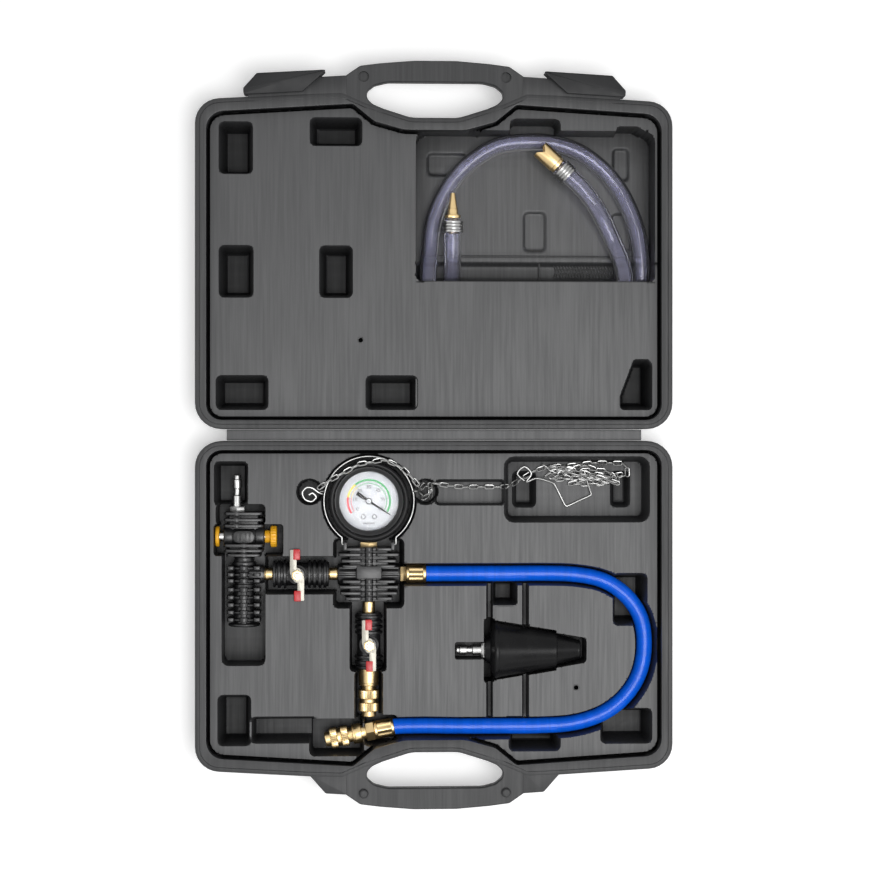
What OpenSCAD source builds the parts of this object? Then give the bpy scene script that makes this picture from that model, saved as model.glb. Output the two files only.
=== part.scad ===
// Coolant vacuum filler kit, lying in its opened case
// The case opens flat: its base lies at -Y, its lid at +Y and the hinge runs along X at Y = 0

/* [Case] */
// Width of the case, left to right
case_w = 403; // [396:1:420]
// Depth of each half, from the hinge edge to the front corners
case_d = 277; // [275:1:290]
// Height of each half
half_h = 42; // [42:0.5:48]
// Thickness of the blow-moulded walls
wall = 2; // [1.6:0.1:2.2]
// Depth of the inner panel below the rim
panel_drop = 6; // [5:0.5:6]
// Width of the rim round the inner panel
rim_w = 9.5; // [9:0.5:12]
// Width of the gap between the two rims at the hinge
hinge_w = 10; // [9:0.5:12]
// Length of the hinge strip
hinge_l = 350; // [300:5:360]
// Thickness of the hinge strip
strip_t = 1.2; // [0.8:0.1:1.4]
// Thickness of the carrying handle of each half
handle_t = 18; // [14:1:22]
// Thickness of the rail flange and of the keeper tabs
flange_t = 3; // [2:0.5:4]
// Thickness of a latch's jaws
jaw_t = 2.7; // [2:0.1:3.5]
// Width of a latch, out from the front edge
latch_w = 17.5; // [16:0.5:20]
// Diameter of the locating pegs in the handle
peg_d = 8; // [6:0.5:9]

/* [Tool] */
// Height of the pipe axes above the floor
tool_z = 22; // [21.5:0.1:22.5]
// Distance of the long pipe axis from the hinge
main_y = 118; // [117:0.5:119]
// Place of the gauge and manifold axis across the case
gauge_x = -55.5; // [-56.5:0.5:-54.5]
// Distance of the gauge centre from the hinge
gauge_y = 56; // [55:0.5:57]
// Place of the venturi and muffler axis across the case
muffler_x = -161; // [-162:0.5:-160]
// Place of the first valve's pivot across the case
valve1_x = -116; // [-117:0.5:-115]
// Distance of the second valve's pivot from the hinge
valve2_y = 177.5; // [176:0.5:179]
// Width, length and height of the manifold block
manifold_size = [53, 46, 28];
// Width, length and height of the venturi block
venturi_size = [34.5, 38, 28];
// Diameter of the muffler's ribs
muffler_d = 28.5; // [26:0.5:30]
// Count of the muffler's ribs
muffler_ribs = 6; // [4:1:7]
// Diameter of the valve bodies over their ribs
valve_d = 24; // [22:0.5:25]
// Radius of the threaded ends of the brass nipples
nipple_r = 5.3; // [5:0.1:5.6]
// Radius of the bore through the pipes
port_r = 3; // [2.5:0.1:3.4]
// Radius of the ball in each valve
ball_r = 6.7; // [6.2:0.1:6.8]
// Length of the butterfly levers
lever_l = 43; // [38:1:46]
// Thickness of the butterfly levers
lever_t = 1.6; // [1.2:0.1:2]
// Travel of the venturi's spool
spool_travel = 3.4; // [2:0.1:3.5]

/* [Gauge] */
// Outer diameter of the rubber boot
boot_d = 69; // [68:0.5:70]
// Diameter of the gauge case
gauge_d = 63; // [60:0.5:63]
// Height of the rubber boot
boot_h = 32; // [30:0.5:33]
// Radius of the bail's ring round the gauge
bail_r = 38; // [37.5:0.1:38.5]
// Diameter of the bail's wire
bail_wire = 1.8; // [1.4:0.1:2]
// Teeth of the pointer's pinion
pinion_teeth = 10; // [8:1:12]
// Teeth that the sector would have as a full wheel
sector_teeth = 50; // [46:1:54]
// Module of the pinion and the sector
gear_module = 0.6; // [0.5:0.05:0.6]

/* [Hoses] */
// Outer diameter of the blue hose
blue_d = 13.5; // [12:0.5:14]
// Bore of the blue hose
blue_bore = 8; // [7.5:0.5:9]
// Outer diameter of the clear hose
clear_d = 15; // [14:0.5:15]
// Bore of the clear hose
clear_bore = 11; // [10.5:0.5:11.5]
// Diameter of the coupler sleeves
sleeve_d = 17.4; // [16.5:0.1:18]
// Travel of the coupler sleeves
sleeve_travel = 3; // [2:0.1:3]
// Radius of the plug that the couplers take
plug_r = 4; // [3.8:0.1:4.2]

/* [Chain and cone] */
// Diameter of the chain's wire
chain_wire = 1.2; // [1:0.1:1.3]
// Length of a chain link
link_l = 9; // [8:0.5:10]
// Width of a chain link
link_w = 4.4; // [4:0.1:5]
// Diameter of the hanger hook's wire
hook_wire = 2; // [1.6:0.1:2.2]
// Diameter of the rubber cone at its flange
cone_d = 48.5; // [44:0.5:49]
// Length of the rubber cone
cone_l = 73; // [70:0.5:76]

/* [Hidden] */
$fn = 48;

// Clearances: threads and seats, running fits and free faces
thread_gap = 0.05;
run_gap = 0.05;
free_gap = 0.35;
far = 100;

// Case heights
panel_z = half_h - panel_drop;
hinge_y = hinge_w / 2;
bend_y = hinge_y - 1.1;
rim_gap = 0.2;
bend_z = half_h - bend_y + rim_gap / 2;
bead_r = 0.8;
tool_floor = 7;
kiss_floor = 4;
hose_floor = tool_z - blue_d / 2 - 0.4;
chain_floor = 16;
case_x = case_w / 2;
front_y = hinge_y + case_d;
panel_x = case_x - rim_w;
run_y = front_y - 34;

// Front edge: reach of the handle block, of the keeper tabs and of the pegs across and beyond it
tab_in = 74;
tab_out = 106.5;
tab_tip = [92, front_y + 19.4, 3];
tab_root = [tab_in, front_y + 20.5, 0];
rail_end = 157;
rail_tip = [150, front_y + 15, 3];
peg_x = 60;
peg_y = front_y + 19.5;

// Half outlines from the hinge to the middle of the front, each point with its corner radius
tray_half = [[case_x, hinge_y, 22], [case_x, front_y - 0.5, 21], [tab_out, front_y + 5, 3],
    [78, front_y + 6, 4], [58, front_y - 2.6, 8], [20, front_y - 14.6, 30]];
handle_half = [[75, front_y - 12, 0], [75, front_y + 20.5, 1], [63, front_y + 28.8, 6],
    [46, front_y + 31, 40], [18, front_y + 33.3, 60]];
hole_half = [[52.5, front_y - 3.4, 10], [57.5, front_y + 1.5, 6], [57, front_y + 7.5, 6],
    [51, front_y + 12.5, 8], [40, front_y + 15.3, 25]];
hole_low = [20, front_y - 13, 40];
panel_half = [[panel_x, hinge_y + 7.7, 13], [panel_x, front_y - 11, 15], [69, front_y - 3.4, 5],
    [51, front_y - 18, 10], [26, front_y - 25, 30]];
edge_slope = atan2(5.5, case_x - tab_out);

// Latch outline along the front edge: x runs away from the handle, y out from the edge
latch_at = [108.6, front_y + 5.7];
latch_pts = [[0, 0, 1], [52, 0, 2], [52, 6, 2], [40, latch_w, 2], [-18, latch_w, 1]];
web_t = 3;

// Tool places along its axes
plug_x = muffler_x - 6;
spool_y = 86;
venturi_y = 65;
manifold_top = main_y - manifold_size.y / 2;
manifold_left = gauge_x - manifold_size.x / 2;
valve_back = 20.8;
valve_front = 26.7;
valve_boss = 12.6;
lever_z = 15.6;
grip_l = 12;
lever_w = 9;
stem_r = 3;
thread_l = 8;
spool_r = 4;
muffler_top = 126;
muffler_l = 36;
neck_r = 10;
bail_z = 33;
bail_leg = bail_r * 0.6;
bail_pivot_y = manifold_top - 2.5;

// Gauge heights
boot_z = 8;
case_z = 10;
case_h = 27;
dial_z = 27;
plate_z = 17.5;
arbor_r = 1;
gear_z = 19.7;
gear_t = 2;

function unit(v) = v / norm(v);
function edge_out(a, b) = let (e = unit([b.x - a.x, b.y - a.y])) [e.y, -e.x];

// One rounded corner of an outline that is grown by d
function corner(p, a, b, d, steps) =
    let (n1 = edge_out(a, p), n2 = edge_out(p, b), m = (n1 + n2) / (1 + n1 * n2))
    let (side = n1.x * n2.y - n1.y * n2.x >= 0 ? 1 : -1, r = p[2] + side * d)
    let (tip = [p.x, p.y] + d * m, start = atan2(n1.y, n1.x), sweep = side * acos(min(1, n1 * n2)))
    r < 0.05 || abs(sweep) < 0.5 ? [tip] : [for (i = [0:steps]) tip - side * r * m
        + side * r * [cos(start + sweep * i / steps), sin(start + sweep * i / steps)]];

function round_poly(pts, d = 0, steps = 4) = let (n = len(pts))
    [for (i = [0:n - 1]) each corner(pts[i], pts[(i + n - 1) % n], pts[(i + 1) % n], d, steps)];

function mirrored(half) = concat(half, [for (i = [len(half) - 1:-1:0]) [-half[i].x, half[i].y, half[i][2]]]);
function box_pts(x0, x1, y0, y1, r) = [[x0, y0, r], [x1, y0, r], [x1, y1, r], [x0, y1, r]];

// Points along a smooth curve through a route's own points
function curve_at(p, i, t) = let (n = len(p) - 1, a = p[max(i - 1, 0)], b = p[i], c = p[i + 1])
    let (e = p[min(i + 2, n)])
    0.5 * (2 * b + (c - a) * t + (2 * a - 5 * b + 4 * c - e) * t * t + (3 * b - a - 3 * c + e) * t * t * t);
function smooth(p, step) = concat([for (i = [0:len(p) - 2])
    each let (k = max(1, round(norm(p[i + 1] - p[i]) / step))) [for (j = [0:k - 1]) curve_at(p, i, j / k)]],
    [p[len(p) - 1]]);
function tangents(p) = let (n = len(p) - 1) [for (i = [0:n]) unit(p[min(i + 1, n)] - p[max(i - 1, 0)])];

// Hose routes, chosen by hand; the blue hose bends round from its first run to the one along the front
function bend(f) = -main_y - f * (run_y - main_y);
blue_route = [for (p = [[-22.6, 0], [-5, 0], [30, 0], [65, 0], [95, 0], [120, 0.008], [144, 0.046],
    [163.5, 0.142], [176.5, 0.288], [180, 0.475], [175.5, 0.662], [162.5, 0.817], [143, 0.926], [118, 0.985],
    [88, 1], [56, 1], [20, 1], [-8, 0.996], [-34, 1], [-46, 1.017]]) [p.x, bend(p.y), tool_z]];
clear_route = [[16, 184, 24], [16, 172, 24], [16, 155, 21.5], [16, 138, 16], [16, 120, 11.5],
    [24, 92, 10.5], [42, 69, 10.5], [68, 54, 10.5], [97, 50, 10.5], [127, 55, 10.5], [152, 71, 10.5],
    [170, 95, 10.5], [178, 120, 11], [179, 145, 13.5], [176, 170, 14], [169, 192, 14], [158, 213, 14],
    [143, 230, 14], [124, 243, 14], [102, 250, 14], [80, 251, 14], [57, 248, 14], [38, 238, 14],
    [22, 224, 14], [9, 205, 14], [0, 182, 14], [-3, 157, 14], [-5, 132, 17], [-3, 105, 24], [8, 80, 26],
    [27, 61, 26], [52, 50, 26], [81, 47, 26], [110, 52, 26], [134, 65, 26], [152, 86, 26],
    [161, 110, 26], [163, 131, 24], [160, 150, 19], [153, 168, 17], [145, 184, 20.5],
    [136, 197.8, 25.5], [125.2, 210.6, 29.2], [115.6, 219.4, 29.8], [106, 228.2, 29.8]];
chain_route = [[-98, -45, 38.5], [-90, -39, 41], [-81, -34, 43], [-72, -29, 43], [-62, -24, 43],
    [-54, -23, 43], [-45, -21, 42], [-37, -23, 40], [-29, -27, 38.5], [-22, -33, 38.5], [-16, -39, 38.5],
    [-10, -46, 38], [-4, -41, 38], [5, -42, 37.5], [14, -43, 36], [24, -44, 33], [34, -44, 30.8],
    [46, -44, 30.8], [57, -44, 30.6], [64, -43, 26.5], [69, -41, 21.5], [76, -37, 18.5], [88, -30, 18.5],
    [102, -27, 18.5], [118, -26, 18.5], [136, -24, 18.5], [152, -24, 18.5], [163, -25, 18.5],
    [166, -32, 18.5], [156, -38, 18.5], [140, -36, 18.5], [122, -36, 18.5], [106, -37, 18.5]];
hook_route = [[77, -39, 25.5], [71, -33, 25], [77, -27, 24.5], [83, -33, 24], [79, -40, 23],
    [89, -37.5, 21.5], [103, -43, 18.5], [108, -52, 17.5], [112, -63, 17.5], [124, -58, 17.5],
    [135, -53, 17.5], [133, -44, 19.5], [131, -37, 22.5], [130, -31, 22.5]];
s_hook_route = [[-94.9, -49.7, 33.4], [-98, -48.5, 34.5], [-103, -45, 35.5], [-108, -44.5, 36.5],
    [-111.5, -48.5, 37], [-109.5, -54, 37], [-104, -56, 37], [-100, -52.5, 37.5], [-103, -49, 38],
    [-106, -50.5, 38.5]];
blue_path = smooth(blue_route, 20);
clear_path = smooth(clear_route, 24);

// Least gap of a tube to its own later turns, measured between its points
function self_gap(p, d) = min([for (i = [0:len(p) - 1]) for (j = [i + 1:1:len(p) - 1])
    if (norm(p[i] - p[j]) < 3 * d && j - i > 4) norm(p[i] - p[j]) - d]);
echo(clear_hose_least_gap = self_gap(smooth(clear_route, 4), clear_d));

// Recesses of the base as [outline, floor height, steps of each corner], with Y counted from the hinge
manifold_end = main_y + manifold_size.y / 2;
gauge_recess = boot_d / 2 + 6;
cone_y = 182.5;
cone_x = 51;
cone_z = kiss_floor + cone_d / 2 + free_gap;
cone_side = cone_d / 2 + 1.2;
cone_end = cone_x + cone_l;
cone_tail_l = 20.5;
function circle_pts(x, y, r) = box_pts(x - r, x + r, y - r, y + r, r - 0.01);
function band_pts(p, w) = let (t = tangents(p), n = len(p) - 1) concat(
    [for (i = [0:n]) [p[i].x + t[i].y * -w, -p[i].y - t[i].x * w, 0]],
    [for (i = [n:-1:0]) [p[i].x + t[i].y * w, -p[i].y + t[i].x * w, 0]]);

base_recesses = [
    [box_pts(plug_x - 19, plug_x + 10, 22, 60, 5), tool_floor, 3],
    [box_pts(muffler_x - 23.5, muffler_x + 18.5, 58, 76, 4), tool_floor, 3],
    [box_pts(muffler_x - 25.3, muffler_x + 33.5, 75, 102, 3), tool_floor, 3],
    [box_pts(muffler_x - 18.5, muffler_x + 18.5, 94, 194.5, 6), tool_floor, 3],
    [box_pts(muffler_x + 17, manifold_left, main_y - 16, main_y + 16.5, 3), tool_floor, 3],
    [circle_pts(gauge_x, gauge_y, gauge_recess), tool_floor, 9],
    [circle_pts(gauge_x - 50, 48, 11.4), tool_floor + 12, 5],
    [circle_pts(gauge_x + 48, 48, 11.4), tool_floor + 12, 5],
    [box_pts(manifold_left - 4, manifold_left + manifold_size.x + 3.5, gauge_y + 31, manifold_end + 5.5, 5),
        tool_floor, 3],
    [box_pts(gauge_x - 16.5, gauge_x + 15, manifold_end, 200, 4), tool_floor, 3],
    [box_pts(gauge_x - 12.5, gauge_x + 12, 199, run_y - 6, 4), tool_floor, 3],
    [box_pts(gauge_x - 50.5, gauge_x - 4, run_y - 9, run_y + 23, 5), tool_floor, 3],
    [box_pts(gauge_x - 5, gauge_x + 25, run_y - 12, run_y + 15, 5), tool_floor, 3],
    [box_pts(manifold_left + manifold_size.x, -4, main_y - 10.5, main_y + 10.5, 3), tool_floor, 3],
    [band_pts(blue_path, blue_d / 2 + 3), hose_floor, 1],
    [box_pts(47.5, 72, 122, 146, 5), kiss_floor, 3],
    [box_pts(151, 181, 117, 162, 5), kiss_floor, 3],
    [box_pts(62.5, 107, front_y - 30, front_y - 14, 5), kiss_floor, 3],
    [box_pts(140.5, 185, front_y - 50.5, front_y - 20, 5), kiss_floor, 3],
    [box_pts(43.5, 80, 126, run_y - 11, 4), panel_z - 5, 3],
    [box_pts(58.5, 183, 18, 74.3, 9), chain_floor, 4],
    [box_pts(67, 88, 30.6, 62.3, 5), kiss_floor, 3],
    [box_pts(151.3, 169, 30.6, 62.3, 5), kiss_floor, 3],
    [box_pts(0, 60, 37.3, 59.7, 4), panel_z - 8, 3],
    [box_pts(cone_x - 34, cone_x - 8, cone_y - 7.5, cone_y + 7.5, 2), cone_z - 7, 3],
    [box_pts(cone_x - 9.5, cone_x + 0.5, cone_y - cone_side - 2, cone_y + cone_side + 2, 3), kiss_floor, 3],
    [[[cone_x, cone_y - cone_side, 0], [cone_end - cone_tail_l, cone_y - 17, 0],
        [cone_end - cone_tail_l, cone_y + 17, 0], [cone_x, cone_y + cone_side, 0]], kiss_floor, 3],
    [[[cone_end - cone_tail_l - 1, cone_y - 15, 0], [cone_end + 5, cone_y - 10.5, 4],
        [cone_end + 5, cone_y + 10.5, 4], [cone_end - cone_tail_l - 1, cone_y + 15, 0]], kiss_floor + 8, 3],
    [box_pts(-183, -154.5, front_y - 63.5, front_y - 20, 5), kiss_floor, 3],
    [box_pts(-156, -99, front_y - 45, front_y - 22, 5), kiss_floor + 8, 3]];

base_vent = [120, front_y - 68];

// Recesses of the lid; the hose compartment opens into the space between the walls along its hinge side
compartment = [-16, panel_x - 4.5, 129.5, front_y - 24];
mouth_y = 154;
lid_vent = [-62.5, 80];
compartment_floor = 6;
lid_recesses = [
    [box_pts(-182, -153, front_y - 62.5, front_y - 18, 5), kiss_floor, 3],
    [box_pts(-105.5, -61, front_y - 38.5, front_y - 14, 5), kiss_floor, 3],
    [box_pts(-182, -152.5, 115.5, 160, 5), kiss_floor, 3],
    [box_pts(-97.5, -69, 115.5, 160, 5), kiss_floor, 3],
    [box_pts(-184.5, -140, 21, 50.5, 5), kiss_floor, 3],
    [box_pts(-58.5, -14, 21, 50.5, 5), kiss_floor, 3],
    [[[157, 21, 4], [185, 21, 4], [185, 60, 4], [181, 64.5, 2], [169, 64.5, 3], [157, 33, 6]], kiss_floor, 3],
    [box_pts(compartment[0], compartment[1], mouth_y, compartment[3], 10), compartment_floor, 5],
    [box_pts(63.5, 107, front_y - 32, front_y - 14, 6), compartment_floor, 3],
    [[[154, front_y - 32, 2], [181, front_y - 32, 2], [181, front_y - 25, 3], [172, front_y - 20, 4],
        [154, front_y - 20, 4]], compartment_floor, 3],
    [box_pts(-6, 30, front_y - 60, front_y - 39, 5), kiss_floor, 3],
    [box_pts(77, 98, 157, 193, 5), kiss_floor, 3],
    [box_pts(153, 172, 157, 192, 5), kiss_floor, 3],
    [box_pts(154, 170, front_y - 64, front_y - 34, 5), kiss_floor, 3]];

case_black = "#26272a";
brass = "#c9a24a";
steel = "#b9bbbe";
rubber = "#17181a";

module prism(pts, z0, z1, d = 0, steps = 4) {
    translate([0, 0, z0])
        linear_extrude(z1 - z0)
            polygon(round_poly(pts, d, steps));
}

// Hollow between the two walls of a half, kept clear of its recesses
module cavity(recesses) {
    difference() {
        union() {
            prism(mirrored(tray_half), wall, panel_z - wall, -wall, 6);
            difference() {
                prism(mirrored(tray_half), panel_z - wall - 0.5, half_h - wall, -wall, 6);
                prism(mirrored(panel_half), 0, far, wall, 6);
            }
        }
        for (e = recesses) prism(e[0], e[1] - wall, far, wall, e[2]);
    }
}

// One half of the case, drawn with its hinge edge towards Y = 0
module half_shell(recesses, vent) {
    difference() {
        union() {
            prism(mirrored(tray_half), 0, half_h, 0, 6);
            prism(mirrored(handle_half), half_h - handle_t, half_h, 0, 4);
            children();
        }
        prism(mirrored(concat([hole_low], hole_half)), -1, far, 0, 5);
        prism(mirrored(panel_half), panel_z, far, 0, 6);
        for (e = recesses) prism(e[0], e[1], far, 0, e[2]);
        cavity(recesses);
        translate([vent.x, vent.y, panel_z - 2 * wall]) cylinder(d = 3.4, h = 3 * wall);
    }
}

module flange(pts) {
    for (s = [0, 1]) mirror([s, 0, 0]) prism(pts, half_h - flange_t, half_h);
}

module pegs(d, h) {
    for (s = [-1, 1]) translate([s * peg_x, peg_y, half_h - 1]) cylinder(d = d, h = h);
}

module base_shell() {
    tab = [[tab_in, front_y + 3, 0], [tab_out, front_y + 3, 0], tab_tip, tab_root];
    color(case_black) mirror([0, 1, 0]) half_shell(base_recesses, base_vent) {
        flange(tab);
        pegs(peg_d, 4);
    }
}

module lid_shell() {
    rail = [[tab_in, front_y, 0], [rail_end, front_y - 2, 0], [rail_end, front_y + 8, 1], rail_tip,
        tab_tip, tab_root];
    color(case_black) difference() {
        half_shell(lid_recesses, lid_vent) flange(rail);
        prism(box_pts(compartment[0], compartment[1], compartment[2], mouth_y + 12, 6), wall, far);
        translate([0, 0, -4]) pegs(peg_d + 2 * free_gap, far);
    }
}

module hinge_strip() {
    color(case_black) union() {
        translate([-hinge_l / 2, -bend_y, bend_z - strip_t / 2]) cube([hinge_l, 2 * bend_y, strip_t]);
        for (s = [-1, 1]) translate([-hinge_l / 2, s * bend_y, bend_z])
            rotate([0, 90, 0]) cylinder(r = bead_r, h = hinge_l);
    }
}

// Sliding latch of the right side: two jaws and the web that joins them round the rail
module latch() {
    low_z = half_h - flange_t - 0.3 - jaw_t;
    high_z = half_h + flange_t + rim_gap + 0.3;
    in_y = latch_w - web_t;
    web = [[latch_pts[4].x * in_y / latch_w, in_y, 0],
        [40 + 12 * web_t / (latch_w - 6), in_y, 0], latch_pts[3], latch_pts[4]];
    translate([latch_at.x, latch_at.y, 0]) rotate([0, 0, -edge_slope]) union() {
        prism(latch_pts, low_z, low_z + jaw_t);
        prism(latch_pts, high_z, high_z + jaw_t);
        prism(web, low_z, high_z + jaw_t);
    }
}

module latch_right() { color(case_black) latch(); }
module latch_left() { color(case_black) mirror([1, 0, 0]) latch(); }

module at(x, y, z = tool_z) { translate([x, -y, z]) children(); }
module to_right() { rotate([0, 90, 0]) children(); }
module to_back() { rotate([-90, 0, 0]) children(); }
module to_front() { rotate([90, 0, 0]) children(); }
module rod(r, z0, z1) { translate([0, 0, z0]) cylinder(r = r, h = z1 - z0); }
module hex(across, z0, z1) { translate([0, 0, z0]) cylinder(d = across / cos(30), h = z1 - z0, $fn = 6); }
module block(size) { translate(-size / 2) cube(size); }

// Plates across a body, seen as cooling fins
module fins(size, count, thick) {
    pitch = (size.y - thick) / (count - 1);
    for (i = [0:count - 1]) translate([0, (thick - size.y) / 2 + i * pitch, 0])
        block([size.x, thick, size.z]);
}

// Male plug of an air line: hex, collar, neck and head, with a threaded foot below Z = 0
module plug(foot_r, foot_l, hex_af, hex_l, body_l) {
    neck_z = hex_l + 0.36 * body_l;
    head_z = hex_l + 0.58 * body_l;
    nose_z = hex_l + 0.85 * body_l;
    difference() {
        union() {
            rod(foot_r, -foot_l, 0);
            hex(hex_af, 0, hex_l);
            rod(plug_r + 0.4, hex_l, neck_z);
            rod(plug_r - 0.9, neck_z, head_z);
            rod(plug_r, head_z, nose_z);
            rod(plug_r - 0.8, nose_z, hex_l + body_l);
        }
        rod(2.2, -far, far);
    }
}

venturi_mid = venturi_y + venturi_size.y / 2;
venturi_end = venturi_y + venturi_size.y;
venturi_left = muffler_x - venturi_size.x / 2;
venturi_right = muffler_x + venturi_size.x / 2;
inlet_r = 4.8;
jet_r = 5;
jet_y = 94;
jet_end = 112;

module inlet_plug() { color(steel) at(plug_x, venturi_y) to_back() plug(inlet_r, thread_l, 12, 4.5, 26.5); }

module venturi_body() {
    color(rubber) difference() {
        union() {
            at(muffler_x, venturi_mid) {
                block(venturi_size - [8, 0, 7]);
                fins(venturi_size, 7, 2.6);
                block([18, 9, venturi_size.z + 0.6]);
            }
            at(venturi_left, spool_y) to_right() rod(9.5, 0, venturi_size.x);
            at(muffler_x, venturi_end - 2) to_front() rod(neck_r, 0, muffler_top - venturi_end + 2);
            at(muffler_x, muffler_top - 3) to_front() rod(muffler_d / 2, 0, 3);
            at(muffler_x, muffler_top - 12.4) to_front() rod(muffler_d / 2, 0, 3);
            at(muffler_x, main_y) to_right() rod(8, 0, venturi_size.x / 2);
        }
        at(plug_x, venturi_y) to_front() rod(inlet_r + thread_gap, -1, thread_l + 0.2);
        at(plug_x, venturi_y) to_front() rod(port_r, 0, spool_y - venturi_y);
        at(venturi_left, spool_y) to_right() rod(spool_r + run_gap, -1, venturi_size.x + 1);
        at(muffler_x, spool_y) to_front() rod(port_r, 0, 20);
        at(muffler_x, jet_y) to_front() rod(jet_r, 0, far / 2);
        at(muffler_x, main_y) to_right() rod(port_r, 0, far / 4);
        at(venturi_right - thread_l, main_y) to_right() rod(nipple_r + thread_gap, 0, far / 4);
    }
}

module venturi_jet() {
    color(brass) at(muffler_x, jet_y) to_front() difference() {
        union() {
            rod(jet_r - thread_gap, 0, 9);
            rod(3, 9, jet_end - jet_y);
        }
        rod(1.2, -1, far);
        rod(2.4, -1, 5);
    }
}

module muffler() {
    pitch = (muffler_l - 3) / muffler_ribs;
    color(rubber) at(muffler_x, muffler_top) to_front() difference() {
        union() {
            rod(9.5, 0, muffler_l);
            rod(jet_r - thread_gap, -4, 0.5);
            for (i = [1:muffler_ribs]) rod(muffler_d / 2, i * pitch, i * pitch + 3);
        }
        rod(3.6, -5, muffler_l - 3);
        for (a = [0:60:300]) rotate([0, 0, a]) translate([2.2, 0, 0]) rod(0.9, muffler_l - 5, muffler_l + 1);
    }
}

cap_t = 3.4;
cap_face = venturi_left - spool_travel - 0.3;
knob_face = venturi_right + 0.3;

module spool_rod() {
    color(steel) at(0, spool_y) to_right() difference() {
        rod(spool_r, cap_face, knob_face);
        for (x = [venturi_left + 6, venturi_right - 6]) difference() {
            rod(spool_r + 1, x - 0.85, x + 0.85);
            rod(3, x - 1, x + 1);
        }
        difference() {
            rod(spool_r + 1, plug_x - 4, muffler_x + 4);
            rod(2.5, plug_x - 5, muffler_x + 5);
        }
    }
}

module spool_seals() {
    color(rubber) at(0, spool_y) to_right() for (x = [venturi_left + 6, venturi_right - 6]) difference() {
        rod(spool_r, x - 0.8, x + 0.8);
        rod(3 + thread_gap, x - 1, x + 1);
    }
}

module spool_knob() {
    color("orange") at(knob_face, spool_y) to_right() union() {
        rod(5.5, 0, 4.6);
        rod(8.9, 4.6, 10.1);
    }
}

module spool_cap() { color("orange") at(cap_face - cap_t, spool_y) to_right() rod(8.7, 0, cap_t); }

// Short brass pipe along +Z with a thread at each end
module nipple(l) {
    color(brass) difference() {
        rod(nipple_r, -thread_l + 1, l + thread_l - 1);
        rod(port_r, -far, far);
    }
}

module venturi_nipple() {
    at(venturi_right, main_y) to_right() nipple(valve1_x - valve_back - venturi_right);
}
module manifold_nipple() {
    at(valve1_x + valve_front, main_y) to_right() nipple(manifold_left - valve1_x - valve_front);
}
module outlet_nipple() {
    at(gauge_x, manifold_end) to_front() nipple(valve2_y - valve_front - manifold_end);
}

// Ball valve with its pipe along X, its stem along +Z and its ball at the origin
valve_r = valve_d / 2;
core_r = valve_r - 2;
seat_r = 8;
split_x = 12;
seat_x = 8.5;
seat_in = 3.6;
ball_bore = 4;
tang_z = 5.4;
stem_top = lever_z + 5.6;
handle_r = 2.4;

module valve_body() {
    color(rubber) difference() {
        union() {
            to_right() rod(core_r, -split_x, valve_front);
            for (x = [-split_x, 9, 14.4, 19.8, valve_front - 2.6]) to_right() rod(valve_r, x, x + 2.6);
            rod(6.5, 0, valve_boss);
        }
        to_right() rod(seat_r + thread_gap, -far, seat_x + 0.1);
        to_right() rod(ball_bore, 0, far);
        to_right() rod(nipple_r + thread_gap, valve_front - thread_l, far);
        rod(stem_r + run_gap, 0, far);
    }
}

module valve_end() {
    color(rubber) difference() {
        union() {
            to_right() rod(core_r, -valve_back, -split_x);
            to_right() rod(seat_r, -split_x - 1, -seat_x - 0.1);
            to_right() rod(valve_r, -valve_back, -valve_back + 2.6);
            to_right() rod(valve_r, -split_x - 4.2, -split_x - 1.6);
        }
        to_right() rod(ball_bore, -far, 0);
        to_right() rod(nipple_r + thread_gap, -far, -valve_back + thread_l);
    }
}

module valve_seats() {
    inner = ball_bore + 0.4;
    outer = seat_r - thread_gap;
    face = sqrt(2) * (ball_r + free_gap);
    color("ivory") for (s = [0, 180]) rotate([0, 0, s]) to_right() rotate_extrude()
        polygon([[inner, face - inner], [face - seat_in, seat_in], [outer, seat_in], [outer, seat_x],
            [inner, seat_x]]);
}

module valve_ball() {
    color(steel) difference() {
        sphere(r = ball_r);
        to_right() rod(ball_bore, -far, far);
        translate([-far / 2, -far / 2, tang_z]) cube(far);
    }
}

module valve_stem() {
    color(steel) union() {
        rod(stem_r, tang_z, lever_z);
        rod(handle_r, lever_z, stem_top);
    }
}

module lever_arms(grow) {
    for (s = [0, 180]) rotate([0, 0, s])
        translate([0, 1.5 - lever_w / 2 - grow, lever_z - grow])
            cube([lever_l / 2, lever_w - 2 + 2 * grow, lever_t + 2 * grow]);
}

module valve_lever() {
    color(steel) difference() {
        union() {
            lever_arms(0);
            rod(6, lever_z, lever_z + lever_t);
        }
        rod(handle_r + thread_gap, 0, far);
    }
}

module valve_grips() {
    color("firebrick") for (s = [0, 180]) rotate([0, 0, s]) difference() {
        translate([lever_l / 2 - grip_l, 0.5 - lever_w / 2, lever_z - 1])
            cube([grip_l + 1, lever_w, lever_t + 2]);
        lever_arms(thread_gap);
    }
}

module valve_nut() {
    color(steel) difference() {
        hex(8, lever_z + lever_t, lever_z + lever_t + 3.2);
        rod(handle_r + thread_gap, 0, far);
    }
}

module valve1_place() { at(valve1_x, main_y) children(); }
module valve2_place() { at(gauge_x, valve2_y) rotate([0, 0, 90]) children(); }
module crosswise() { rotate([0, 0, 90]) children(); }

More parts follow.
